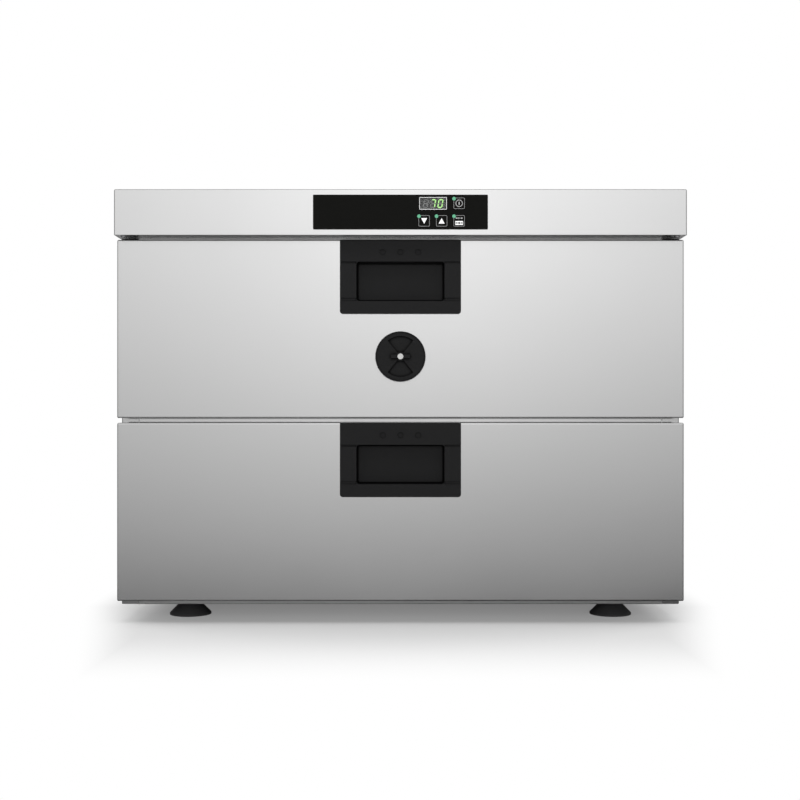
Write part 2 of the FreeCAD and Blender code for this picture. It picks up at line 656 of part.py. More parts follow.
def feet():
    cone_top = "(Sizes.foot_rim + Sizes.foot_radius - Sizes.foot_neck)"
    bore = "(Sizes.bolt_radius + Sizes.bolt_clear)"
    recess = "(Sizes.bolt_head + 1)"
    for name, across, deep in foot_places():
        foot = body(f"foot_{name}", across, deep)
        turned(
            foot,
            (recess, "0"),
            ("Sizes.foot_radius", "0"),
            ("Sizes.foot_radius", "Sizes.foot_rim"),
            ("Sizes.foot_neck", cone_top),
            ("Sizes.foot_neck", "Sizes.foot_tall"),
            (bore, "Sizes.foot_tall"),
            (bore, "Sizes.foot_recess"),
            (recess, "Sizes.foot_recess"),
        )
        node(foot)


def foot_bolts():
    bolts = []
    reach = "Sizes.foot_tall - Sizes.foot_recess + Sizes.sheet + Sizes.bolt_reach"
    for name, across, deep in foot_places():
        head_at = (across, deep, "Sizes.foot_recess - Sizes.bolt_head_tall")
        head = rod(f"bolt_head_{name}", "z", "Sizes.bolt_head", head_at, "Sizes.bolt_head_tall")
        shank_at = (across, deep, "Sizes.foot_recess")
        shank = rod(f"bolt_shank_{name}", "z", "Sizes.bolt_radius", shank_at, reach)
        bolts.append(fuse(f"bolt_{name}", head, shank))
    return node(group("foot_bolts", *bolts))


def case_screws():
    """Rear sheet screws, and the two that hold the hood from below at its front corners."""
    screws = []
    for side, sign in SIDES.items():
        across = f"{sign} * ({SIDE} - Sizes.screw_inset)"
        for number, up in enumerate(rear_screw_heights(CASE_BOTTOM), start=1):
            label = f"rear_screw_{side}_{number}"
            head_at = (across, CASE_REAR, up)
            head = rod(f"{label}_head", "y", "Sizes.screw_head", head_at, "Sizes.screw_head_tall")
            shank_at = (across, f"{CASE_REAR} - Sizes.screw_long", up)
            shank = rod(f"{label}_shank", "y", "Sizes.screw_radius", shank_at, "Sizes.screw_long")
            screws.append(fuse(label, head, shank))
        across = f"{sign} * ({SIDE} - Sizes.hood_screw_side)"
        deep = f"{HOOD_FRONT} + Sizes.hood_screw_front"
        head_at = (across, deep, f"{CASE_TOP} - Sizes.screw_head_tall")
        head = rod(f"hood_screw_{side}_head", "z", "Sizes.screw_head", head_at, "Sizes.screw_head_tall")
        shank = rod(f"hood_screw_{side}_shank", "z", "Sizes.screw_radius", (across, deep, CASE_TOP),
                    "Sizes.screw_long")
        screws.append(fuse(f"hood_screw_{side}", head, shank))
    return node(group("case_screws", *screws))


# Hood.


def hood_screw_holes(deep_from):
    holes = []
    for sign in SIDES.values():
        across = f"{sign} * ({SIDE} - Sizes.hood_screw_side)"
        holes.append((circle, across, deep_from, "Sizes.screw_radius + Sizes.bolt_clear"))
    return holes


def hood():
    """The top cover: a folded shell, open below inside its flange, with the control opening in front."""
    deep = f"({CASE_REAR} - {HOOD_FRONT})"
    piece = body("hood", "0", HOOD_FRONT, CASE_TOP)
    shell = pad(piece, "z", "0", "Sizes.hood_tall", (rectangle, (f"-{SIDE}", SIDE), ("0", deep)))
    doc.recompute()
    top = shell.Shape.BoundBox.ZMax
    round_off(piece, shell, "Sizes.bend", lambda edge: along(edge, "z") or in_plane(edge, "z", top))

    def inset(width):
        return (rectangle, (f"{width} - {SIDE}", f"{SIDE} - {width}"), (width, f"{deep} - {width}"))

    pocket(piece, "z", "0", "Sizes.sheet", inset("Sizes.sheet"))
    pocket(piece, "z", "Sizes.sheet", "Sizes.sheet", inset("Sizes.hood_flange"))
    pocket(piece, "z", "2 * Sizes.sheet", "Sizes.hood_tall - 3 * Sizes.sheet", inset("Sizes.sheet"))
    pocket(piece, "z", "Sizes.sheet", "Sizes.sheet", *hood_screw_holes("Sizes.hood_screw_front"))
    opening_up = tuple(f"{level} - {CASE_TOP}" for level in OPENING_Z)
    pocket(piece, "y", "0", "Sizes.sheet", (rectangle, OPENING_X, opening_up))
    gland_hole = (circle, GLAND_X, "Sizes.gland_lift", "Sizes.gland_thread + Sizes.gland_fit")
    pocket(piece, "y", f"{deep} - Sizes.sheet", "Sizes.sheet", gland_hole)
    louvre_across = (f"Sizes.louvre_inset - {SIDE}", f"Sizes.louvre_inset + Sizes.louvre_wide - {SIDE}")
    louvre_up = ("Sizes.louvre_lift", "Sizes.louvre_lift + Sizes.louvre_tall")
    louvre = pocket(piece, "y", f"{deep} - Sizes.sheet", "Sizes.sheet", (rectangle, louvre_across, louvre_up))
    repeat(piece, louvre, "Sizes.louvre_pitch", "Sizes.louvre_count")
    return node(piece)


def compartment_floor():
    """The plate that carries the power parts; its front strip is the underside of the overhang."""
    half = f"({SIDE} - Sizes.sheet - Sizes.tray_fit)"
    setback = "(Sizes.sheet + Sizes.tray_fit)"
    piece = body("compartment_floor", "0", f"{HOOD_FRONT} + {setback}", CASE_TOP)
    deep = f"{CASE_REAR} - {HOOD_FRONT} - 2 * {setback}"
    pad(piece, "z", "0", "Sizes.sheet", (rectangle, (f"-{half}", half), ("0", deep)))
    pocket(piece, "z", "0", "Sizes.sheet", *hood_screw_holes(f"Sizes.hood_screw_front - {setback}"))
    return node(piece)


def key_middle(name):
    across = f"({KEY_FIRST} + {KEY_COLUMNS[name]} * Sizes.key_pitch)"
    up = f"({FASCIA_BOTTOM} + Sizes.key_row_low + {KEY_ROWS[name]} * Sizes.key_row_pitch)"
    return across, up


def lamp_middle(name):
    across, up = key_middle(name)
    return f"({across} - Sizes.lamp_side)", f"({up} + Sizes.lamp_up)"


def control_fascia():
    """The black plate with holes for the keys, their lenses and the display window."""
    piece = body("control_fascia", "0", f"{HOOD_FRONT} - Sizes.fascia_thick", FASCIA_BOTTOM)
    outline = (rectangle, ("-Sizes.fascia_width / 2", "Sizes.fascia_width / 2"), ("0", "Sizes.fascia_tall"))
    plate = pad(piece, "y", "0", "Sizes.fascia_thick", outline)
    round_off(piece, plate, "Sizes.fascia_corner", lambda edge: along(edge, "y"))
    reach = "(Sizes.key_size / 2 + Sizes.key_fit)"
    holes = []
    lens_holes = []
    for name in KEY_ROWS:
        across, up = key_middle(name)
        up = f"{up} - {FASCIA_BOTTOM}"
        hole_across = (f"{across} - {reach}", f"{across} + {reach}")
        holes.append((rectangle, hole_across, (f"{up} - {reach}", f"{up} + {reach}")))
        across, up = lamp_middle(name)
        lens_hole_radius = "Sizes.lamp_radius + Sizes.key_fit / 2"
        lens_holes.append((circle, across, f"{up} - {FASCIA_BOTTOM}", lens_hole_radius))
    half_wide = "Sizes.display_width / 2"
    half_tall = "Sizes.display_tall / 2"
    up = f"{DISPLAY_Z} - {FASCIA_BOTTOM}"
    holes.append((
        rectangle,
        (f"{DISPLAY_X} - {half_wide}", f"{DISPLAY_X} + {half_wide}"),
        (f"{up} - {half_tall}", f"{up} + {half_tall}"),
    ))
    pocket(piece, "y", "0", "Sizes.fascia_thick", *holes)
    pocket(piece, "y", "0", "Sizes.fascia_thick", *lens_holes)
    return node(piece)


def display():
    """The window in the fascia and the module behind it, on the control board."""
    for label, inset, deep in (
        ("display_window", "0", (f"{HOOD_FRONT} - Sizes.fascia_thick", HOOD_FRONT)),
        ("display_module", "Sizes.display_inset", (HOOD_FRONT, BOARD_FRONT)),
    ):
        half_wide = f"(Sizes.display_width / 2 - {inset})"
        half_tall = f"(Sizes.display_tall / 2 - {inset})"
        across = (f"{DISPLAY_X} - {half_wide}", f"{DISPLAY_X} + {half_wide}")
        up = (f"{DISPLAY_Z} - {half_tall}", f"{DISPLAY_Z} + {half_tall}")
        node(block(label, across, deep, up))


def indicator_lenses():
    start = f"({HOOD_FRONT} - Sizes.fascia_thick - Sizes.lamp_proud)"
    lenses = []
    for name in KEY_ROWS:
        across, up = lamp_middle(name)
        lens_at = (across, start, up)
        lenses.append(rod(f"lens_{name}", "y", "Sizes.lamp_radius", lens_at, f"{BOARD_FRONT} - {start}"))
    return node(group("indicator_lenses", *lenses))


def control_board():
    """The board with its standoffs to the hood wall and a switch behind each key."""
    across = (f"{OPENING_X[0]} - Sizes.board_side", f"{OPENING_X[1]} + Sizes.board_side")
    node(block("control_board", across, (BOARD_FRONT, f"{BOARD_FRONT} + Sizes.board_thick"), OPENING_Z))
    posts = []
    for column, side in enumerate((f"{across[0]} + Sizes.post_inset", f"{across[1]} - Sizes.post_inset")):
        rows = (f"{OPENING_Z[0]} + Sizes.post_inset", f"{OPENING_Z[1]} - Sizes.post_inset")
        for row_number, up in enumerate(rows):
            at = (side, f"{HOOD_FRONT} + Sizes.sheet", up)
            posts.append(rod(f"post_{column}_{row_number}", "y", "Sizes.post_radius", at, "Sizes.board_gap"))
    node(group("board_standoffs", *posts))
    switches = []
    half = "Sizes.switch_size / 2"
    for name in KEY_ROWS:
        across, up = key_middle(name)
        case_front = f"({BOARD_FRONT} - Sizes.switch_tall)"
        case = block(f"switch_case_{name}", (f"{across} - {half}", f"{across} + {half}"),
                     (case_front, BOARD_FRONT), (f"{up} - {half}", f"{up} + {half}"))
        plunger_at = (across, f"{case_front} - Sizes.plunger_tall", up)
        plunger = rod(f"plunger_{name}", "y", "Sizes.plunger_radius", plunger_at, "Sizes.plunger_tall")
        switches.append(fuse(f"switch_{name}", case, plunger))
    node(group("key_switches", *switches))


def keys():
    """Square caps with a lip behind the fascia, a stem, and a notch round the indicator lens."""
    half = "Sizes.key_size / 2"
    lip_half = f"({half} + Sizes.key_lip)"
    face = "(Sizes.fascia_thick + Sizes.key_proud)"
    stem_end = (f"({BOARD_FRONT} - {HOOD_FRONT} - Sizes.switch_tall - Sizes.plunger_tall"
                " - Sizes.key_travel - Sizes.plunger_gap)")
    for name in KEY_ROWS:
        across, up = key_middle(name)
        piece = body(f"key_{name}", across, HOOD_FRONT, up)
        cap = pad(piece, "y", f"-{face}", face, (rectangle, (f"-{half}", half), (f"-{half}", half)))
        round_off(piece, cap, "Sizes.key_corner", lambda edge: along(edge, "y"))
        lip_span = (f"-{lip_half}", lip_half)
        pad(piece, "y", "0", "Sizes.key_lip", (rectangle, lip_span, lip_span))
        pad(piece, "y", "Sizes.key_lip", f"{stem_end} - Sizes.key_lip", (circle, "0", "0", "Sizes.key_stem"))
        notch = (circle, "-Sizes.lamp_side", "Sizes.lamp_up", "Sizes.lamp_radius + Sizes.key_fit")
        pocket(piece, "y", f"-{face}", f"{face} + Sizes.key_lip", notch)
        node(piece)


def power_parts():
    """Terminal block, safety thermostat, cable gland and its locknut."""
    deck = f"({CASE_TOP} + Sizes.sheet)"
    inside_rear = f"({CASE_REAR} - Sizes.sheet)"
    block_rear = f"({inside_rear} - Sizes.block_gap)"
    block_left = f"{GLAND_X} - Sizes.block_wide / 2"
    terminals = body("terminal_block", block_left, f"{block_rear} - Sizes.block_deep", deck)
    outline = (rectangle, ("0", "Sizes.block_wide"), ("0", "Sizes.block_deep"))
    pad(terminals, "z", "0", "Sizes.block_tall", outline)
    lane = "(Sizes.block_wide / 3)"
    lanes = [
        (circle, f"({number} + 0.5) * {lane}", "Sizes.block_deep / 2", "Sizes.block_deep / 4")
        for number in range(3)
    ]
    pocket(terminals, "z", "Sizes.block_tall / 2", "Sizes.block_tall / 2", *lanes)
    node(terminals)
    middle = (f"Sizes.limiter_inset - {SIDE}", f"{inside_rear} - Sizes.limiter_gap", deck)
    base = rod("limiter_base_plate", "z", "Sizes.limiter_base", middle, "Sizes.sheet")
    can = rod("limiter_can", "z", "Sizes.limiter_radius", middle, "Sizes.limiter_tall")
    node(fuse("limit_thermostat", base, can))
    up = f"{CASE_TOP} + Sizes.gland_lift"
    thread_start = f"({inside_rear} - Sizes.gland_inside)"
    thread_long = f"{CASE_REAR} - {thread_start}"
    thread = rod("gland_thread_part", "y", "Sizes.gland_thread", (GLAND_X, thread_start, up), thread_long)
    flange = hexagon("gland_flange_part", "Sizes.gland_flats", (GLAND_X, CASE_REAR, up), "Sizes.gland_flange")
    nut_at = (GLAND_X, f"{CASE_REAR} + Sizes.gland_flange", up)
    nut = rod("gland_nut_part", "y", "Sizes.gland_nut", nut_at, "Sizes.gland_reach - Sizes.gland_flange")
    bore_long = f"{CASE_REAR} + Sizes.gland_reach - {thread_start}"
    bore = rod("gland_bore_tool", "y", "Sizes.gland_bore", (GLAND_X, thread_start, up), bore_long)
    node(cut("cable_gland", fuse("gland_solid", thread, flange, nut), bore))
    ring_at = (GLAND_X, f"{inside_rear} - Sizes.locknut_thick", up)
    ring = hexagon("locknut_solid", "Sizes.gland_flats", ring_at, "Sizes.locknut_thick")
    hole = rod("locknut_hole", "y", "Sizes.gland_thread + Sizes.gland_fit", ring_at, "Sizes.locknut_thick")
    node(cut("gland_locknut", ring, hole))


# Heater at the bottom of the cavity.


def bend_of_element(label, at, turn):
    """Half a ring of the element, curving to the rear, or to the front if turned by 180 degrees."""
    half = new("Part::Torus", label)
    half.Placement = Placement(Vector(), Rotation(Vector(0, 0, 1), turn))
    half.Angle3 = 180
    half.setExpression("Radius1", "Sizes.element_pitch / 2")
    half.setExpression("Radius2", "Sizes.element_radius")
    place(half, at)
    return half


def heater():
    up = f"({CAVITY_FLOOR} + Sizes.element_rise)"
    front = f"({CASE_FRONT} + Sizes.element_front)"
    rear = f"({LINER_REAR} - Sizes.element_rear)"
    end = f"({LINER_REAR} + Sizes.sheet + Sizes.element_end)"
    pieces = []
    clips = []
    for number, steps in enumerate((-1.5, -0.5, 0.5, 1.5)):
        across = f"({steps} * Sizes.element_pitch)"
        stop = end if abs(steps) > 1 else rear
        run_at = (across, front, up)
        run = rod(f"element_run_{number}", "y", "Sizes.element_radius", run_at, f"{stop} - {front}")
        pieces.append(run)
        middle = f"(({front} + {rear}) / 2)"
        half_wide = "Sizes.clip_wide / 2"
        half_long = "Sizes.clip_long / 2"
        foot = block(
            f"clip_block_{number}",
            (f"{across} - {half_wide}", f"{across} + {half_wide}"),
            (f"{middle} - {half_long}", f"{middle} + {half_long}"),
            (CAVITY_FLOOR, f"{up} + Sizes.element_radius + Sizes.clip_wall"),
        )
        hole_at = (across, f"{middle} - {half_long}", up)
        hole = rod(f"clip_hole_{number}", "y", "Sizes.element_radius", hole_at, "Sizes.clip_long")
        clips.append(cut(f"clip_{number}", foot, hole))
    pieces.append(bend_of_element("element_bend_left", ("-Sizes.element_pitch", front, up), 180))
    pieces.append(bend_of_element("element_bend_right", ("Sizes.element_pitch", front, up), 180))
    pieces.append(bend_of_element("element_bend_rear", ("0", rear, up), 0))
    node(fuse("heating_element", *pieces))
    node(group("element_clips", *clips))


def element_cover():
    """A slotted sheet over the heating element, on two folded legs."""
    half = "(Sizes.cover_width / 2)"
    high = "Sizes.cover_tall"
    piece = body("element_cover", "0", f"{CASE_FRONT} + Sizes.cover_front", CAVITY_FLOOR)
    points = (
        (f"-{half}", "0"),
        (f"Sizes.sheet - {half}", "0"),
        (f"Sizes.sheet - {half}", f"{high} - Sizes.sheet"),
        (f"{half} - Sizes.sheet", f"{high} - Sizes.sheet"),
        (f"{half} - Sizes.sheet", "0"),
        (half, "0"),
        (half, high),
        (f"-{half}", high),
    )
    deep = f"{LINER_REAR} - Sizes.cover_rear - {CASE_FRONT} - Sizes.cover_front"
    pad(piece, "y", "0", deep, (polygon, *points))
    first = "(-Sizes.slot_pitch * (Sizes.slot_count - 1) / 2)"
    slots = []
    for number in range(SLOT_ROWS):
        start = f"(Sizes.slot_gap + {number} * (Sizes.slot_long + Sizes.slot_gap))"
        across = (f"{first} - Sizes.slot_wide / 2", f"{first} + Sizes.slot_wide / 2")
        slots.append((rectangle, across, (start, f"{start} + Sizes.slot_long")))
    row_of_slots = pocket(piece, "z", f"{high} - Sizes.sheet", "Sizes.sheet", *slots)
    repeat(piece, row_of_slots, "Sizes.slot_pitch", "Sizes.slot_count")
    return node(piece)


def temperature_probe():
    """An upright probe held off the rear liner by a bracket at each end."""
    deep = f"({LINER_REAR} - Sizes.probe_gap)"
    bottom = f"({CAVITY_FLOOR} + Sizes.probe_lift)"
    stick = rod("probe_stick", "z", "Sizes.probe_radius", ("0", deep, bottom), "Sizes.probe_long")
    brackets = []
    for number, start in enumerate((bottom, f"({bottom} + Sizes.probe_long - Sizes.bracket_tall)")):
        across = ("-Sizes.bracket_wide / 2", "Sizes.bracket_wide / 2")
        up = (start, f"{start} + Sizes.bracket_tall")
        brackets.append(block(f"probe_bracket_{number}", across, (deep, LINER_REAR), up))
    return node(fuse("temperature_probe", stick, *brackets))


# Drawers.


def channel(label, sign, back, web, lip, half_tall, at_y, middle):
    """A slide member: a C section along Y, from the back of its web to the ends of its lips."""
    inside = f"({half_tall} - Sizes.sheet)"
    points = (
        (back, f"-{half_tall}"),
        (lip, f"-{half_tall}"),
        (lip, f"-{inside}"),
        (web, f"-{inside}"),
        (web, inside),
        (lip, inside),
        (lip, half_tall),
        (back, half_tall),
    )
    piece = body(label, "0", at_y, middle)
    section = [(f"{sign} * {across}", up) for across, up in points]
    pad(piece, "y", "0", "Sizes.slide_long", (polygon, *section))
    return piece


def slides(name, frame_top):
    """Outer members on the liners, middle members between, inner members on the pan frame."""
    middle = f"{frame_top} - Sizes.slide_drop - Sizes.slide_tall / 2"
    start = f"{CASE_FRONT} + Sizes.slide_setback"
    outer_half = "(Sizes.slide_tall / 2)"
    middle_half = f"({outer_half} - Sizes.sheet - Sizes.slide_fit)"
    inner_half = f"({middle_half} - Sizes.sheet - Sizes.slide_fit)"
    outer_web = f"({CAVITY_SIDE} - Sizes.sheet)"
    middle_back = f"({outer_web} - Sizes.slide_web_gap)"
    middle_web = f"({middle_back} - Sizes.sheet)"
    outer_lip = f"({FRAME_SIDE} + Sizes.slide_fit)"
    inner_web = f"({FRAME_SIDE} + Sizes.sheet)"
    inner_lip = f"({middle_web} - Sizes.slide_lip_short)"
    members = {
        "outer": (CAVITY_SIDE, outer_web, outer_lip, outer_half),
        "mid": (middle_back, middle_web, outer_lip, middle_half),
        "inner": (FRAME_SIDE, inner_web, inner_lip, inner_half),
    }
    for member, section in members.items():
        pair = [
            channel(f"{name}_slide_{member}_{side}", sign, *section, start, middle)
            for side, sign in SIDES.items()
        ]
        node(group(f"{name}_slide_{member}", *pair))


def front_skin(name, bottom, has_vent):
    """The outer pan of a drawer front, notched at the top for the handle."""
    piece = body(f"{name}_front_skin", "0", FRONT_FACE, bottom)
    outline = (rectangle, (f"-{SIDE}", SIDE), ("0", "Sizes.front_tall"))
    shell = pad(piece, "y", "0", "Sizes.front_thick", outline)
    round_off(piece, shell, "Sizes.bend", lambda edge: in_plane(edge, "y", 0) or along(edge, "y"))
    inner_across = (f"Sizes.sheet - {SIDE}", f"{SIDE} - Sizes.sheet")
    inner = (rectangle, inner_across, ("Sizes.sheet", "Sizes.front_tall - Sizes.sheet"))
    pocket(piece, "y", "Sizes.sheet", "Sizes.front_thick - Sizes.sheet", inner)
    half = "(Sizes.handle_width / 2 - Sizes.handle_lap)"
    opening_up = ("Sizes.front_tall - Sizes.handle_tall + Sizes.handle_lap", "Sizes.front_tall")
    opening = (rectangle, (f"-{half}", half), opening_up)
    pocket(piece, "y", "0", "Sizes.sheet", opening)
    notch = (rectangle, (f"-{half}", half), ("Sizes.front_tall - Sizes.sheet", "Sizes.front_tall"))
    pocket(piece, "y", "0", "Sizes.ledge_deep + Sizes.ledge_fit", notch)
    if has_vent:
        hole = (circle, "0", "Sizes.front_tall - Sizes.vent_drop", "Sizes.vent_tube + Sizes.ledge_fit")
        pocket(piece, "y", "0", "Sizes.sheet", hole)
    return node(piece)


def front_filling(name, bottom, has_vent):
    """The insulation slab in a drawer front and the sheet that closes its back."""
    across = (f"Sizes.sheet - {SIDE}", f"{SIDE} - Sizes.sheet")
    up = (f"{bottom} + Sizes.sheet", f"{bottom} + Sizes.front_tall - Sizes.sheet")
    slab_y = (f"{FRONT_FACE} + Sizes.sheet", f"{FRONT_BACK} - Sizes.sheet")
    slab = block(f"{name}_slab", across, slab_y, up)
    half = "(Sizes.handle_width / 2 - Sizes.handle_lap)"
    cup_bottom = f"({bottom} + Sizes.front_tall - Sizes.handle_tall)"
    tools = [block(f"{name}_slab_notch", (f"-{half}", half), slab_y, (cup_bottom, up[1]))]
    back = block(f"{name}_back_sheet", across, (slab_y[1], FRONT_BACK), up)
    if has_vent:
        axis = ("0", FRONT_FACE, f"{bottom} + Sizes.front_tall - Sizes.vent_drop")
        radius = "Sizes.vent_tube + Sizes.ledge_fit"
        tools.append(rod(f"{name}_slab_bore", "y", radius, axis, "Sizes.front_thick"))
        bore = rod(f"{name}_back_bore", "y", radius, axis, "Sizes.front_thick")
        back = cut(f"{name}_front_back", back, bore)
    else:
        back.Label = f"{name}_front_back"
    node(cut(f"{name}_front_insulation", slab, *tools))
    node(back)


def handle(name, top):
    """The black pull: a flange on the front, a finger cup behind it and a ledge over the top edge."""
    piece = body(f"{name}_handle", "0", FRONT_FACE, top)
    half = "(Sizes.handle_width / 2)"
    hole_half = "(Sizes.recess_width / 2)"
    recess_bottom = "(-Sizes.recess_drop - Sizes.recess_tall)"
    outline = (rectangle, (f"-{half}", half), ("-Sizes.handle_tall", "0"))
    flange = pad(piece, "y", "-Sizes.handle_proud", "Sizes.handle_proud", outline)
    doc.recompute()
    box = flange.Shape.BoundBox
    rounded = round_off(piece, flange, "Sizes.handle_corner",
                        lambda edge: along(edge, "y") and in_plane(edge, "z", box.ZMin))
    doc.recompute()
    round_off(piece, rounded, "Sizes.lip_round",
              lambda edge: in_plane(edge, "z", box.ZMax) and in_plane(edge, "y", box.YMin))
    cup_half = f"({hole_half} + Sizes.cup_wall)"
    cup_up = (f"{recess_bottom} - Sizes.cup_wall", "Sizes.undercut + Sizes.cup_wall - Sizes.recess_drop")
    cup = (rectangle, (f"-{cup_half}", cup_half), cup_up)
    pad(piece, "y", "0", "Sizes.recess_deep + Sizes.cup_wall", cup)
    ledge_half = f"({half} - Sizes.handle_lap - Sizes.ledge_fit)"
    ledge = (rectangle, (f"-{ledge_half}", ledge_half), ("-Sizes.sheet", "0"))
    pad(piece, "y", "0", "Sizes.ledge_deep", ledge)
    hole = (rectangle, (f"-{hole_half}", hole_half), (recess_bottom, "-Sizes.recess_drop"))
    recess = pocket(piece, "y", "-Sizes.handle_proud", "Sizes.handle_proud + Sizes.recess_deep", hole)
    doc.recompute()
    edge_levels = (-sheet.recess_width / 2, sheet.recess_width / 2)
    round_off(piece, recess, "Sizes.handle_corner",
              lambda edge: along(edge, "y") and any(in_plane(edge, "x", level) for level in edge_levels))
    room_up = ("-Sizes.recess_drop - Sizes.handle_corner", "Sizes.undercut - Sizes.recess_drop")
    room = (rectangle, (f"-{hole_half}", hole_half), room_up)
    pocket(piece, "y", "Sizes.lip_thick", "Sizes.recess_deep - Sizes.lip_thick", room)
    plate_half = f"({hole_half} - Sizes.recess_trench)"
    plate_up = (f"{recess_bottom} + Sizes.recess_trench", "-Sizes.recess_drop - Sizes.recess_trench")
    plate_outline = (rectangle, (f"-{plate_half}", plate_half), plate_up)
    plate_deep = "Sizes.recess_plate + Sizes.cup_wall"
    plate = pad(piece, "y", "Sizes.recess_deep - Sizes.recess_plate", plate_deep, plate_outline)
    doc.recompute()
    plate_levels = [sign * (sheet.recess_width / 2 - sheet.recess_trench) for sign in SIDES.values()]
    round_off(piece, plate, "Sizes.plate_corner",
              lambda edge: along(edge, "y") and any(in_plane(edge, "x", level) for level in plate_levels))
    dimples = [
        (circle, f"{number} * Sizes.dimple_pitch", "-Sizes.dimple_drop", "Sizes.dimple_radius")
        for number in (-1, 0, 1)
    ]
    pocket(piece, "y", "-Sizes.handle_proud", "Sizes.engraving", *dimples)
    grooves = []
    for sign in SIDES.values():
        across = (f"{sign} * {hole_half}", f"{sign} * {half}")
        high = ("-Sizes.recess_drop - Sizes.groove_high_tall", "-Sizes.recess_drop")
        low_band = (recess_bottom, f"{recess_bottom} + Sizes.groove_low_tall")
        grooves.append((rectangle, across, high))
        grooves.append((rectangle, across, low_band))
    pocket(piece, "y", "-Sizes.handle_proud", "Sizes.engraving", *grooves)
    return node(piece)


def gasket(name, bottom):
    piece = body(f"{name}_gasket", "0", FRONT_BACK, bottom)
    outer = f"({SIDE} - Sizes.seal_inset_side)"
    inner = f"({outer} - Sizes.seal_width)"
    low = "Sizes.seal_inset_end"
    high = "Sizes.front_tall - Sizes.seal_inset_end"
    pad(
        piece, "y", "0", "Sizes.seal_thick",
        (rectangle, (f"-{outer}", outer), (low, high)),
        (rectangle, (f"-{inner}", inner), (f"{low} + Sizes.seal_width", f"{high} - Sizes.seal_width")),
    )
    return node(piece)


def pan_frame(name, top):
    """Four welded angle bars round the pan's opening, fixed to the back of the drawer front."""
    hole = "(Sizes.pan_hole_width / 2)"
    bars = []
    for side, sign in SIDES.items():
        rail = body(f"{name}_frame_{side}", "0", FRONT_BACK, top)
        points = (
            (FRAME_SIDE, "0"),
            (hole, "0"),
            (hole, "-Sizes.sheet"),
            (f"({FRAME_SIDE} - Sizes.sheet)", "-Sizes.sheet"),
            (f"({FRAME_SIDE} - Sizes.sheet)", "-Sizes.frame_leg"),
            (FRAME_SIDE, "-Sizes.frame_leg"),
        )
        pad(rail, "y", "0", FRAME_DEEP, (polygon, *[(f"{sign} * {across}", up) for across, up in points]))
        bars.append(rail)
    front_bar = body(f"{name}_frame_front", f"-{hole}", FRONT_BACK, top)
    front_points = (
        ("0", "0"),
        ("Sizes.shelf_front", "0"),
        ("Sizes.shelf_front", "-Sizes.sheet"),
        ("Sizes.sheet", "-Sizes.sheet"),
        ("Sizes.sheet", "-Sizes.frame_end_leg"),
        ("0", "-Sizes.frame_end_leg"),
    )
    pad(front_bar, "x", "0", "Sizes.pan_hole_width", (polygon, *front_points))
    rear_bar = body(f"{name}_frame_rear", f"-{hole}", f"{FRONT_BACK} + {FRAME_DEEP}", top)
    rear_points = (
        ("0", "0"),
        ("-Sizes.shelf_rear", "0"),
        ("-Sizes.shelf_rear", "-Sizes.sheet"),
        ("-Sizes.sheet", "-Sizes.sheet"),
        ("-Sizes.sheet", "-Sizes.frame_end_leg"),
        ("0", "-Sizes.frame_end_leg"),
    )
    pad(rear_bar, "x", "0", "Sizes.pan_hole_width", (polygon, *rear_points))
    return node(group(f"{name}_pan_frame", *bars, front_bar, rear_bar))


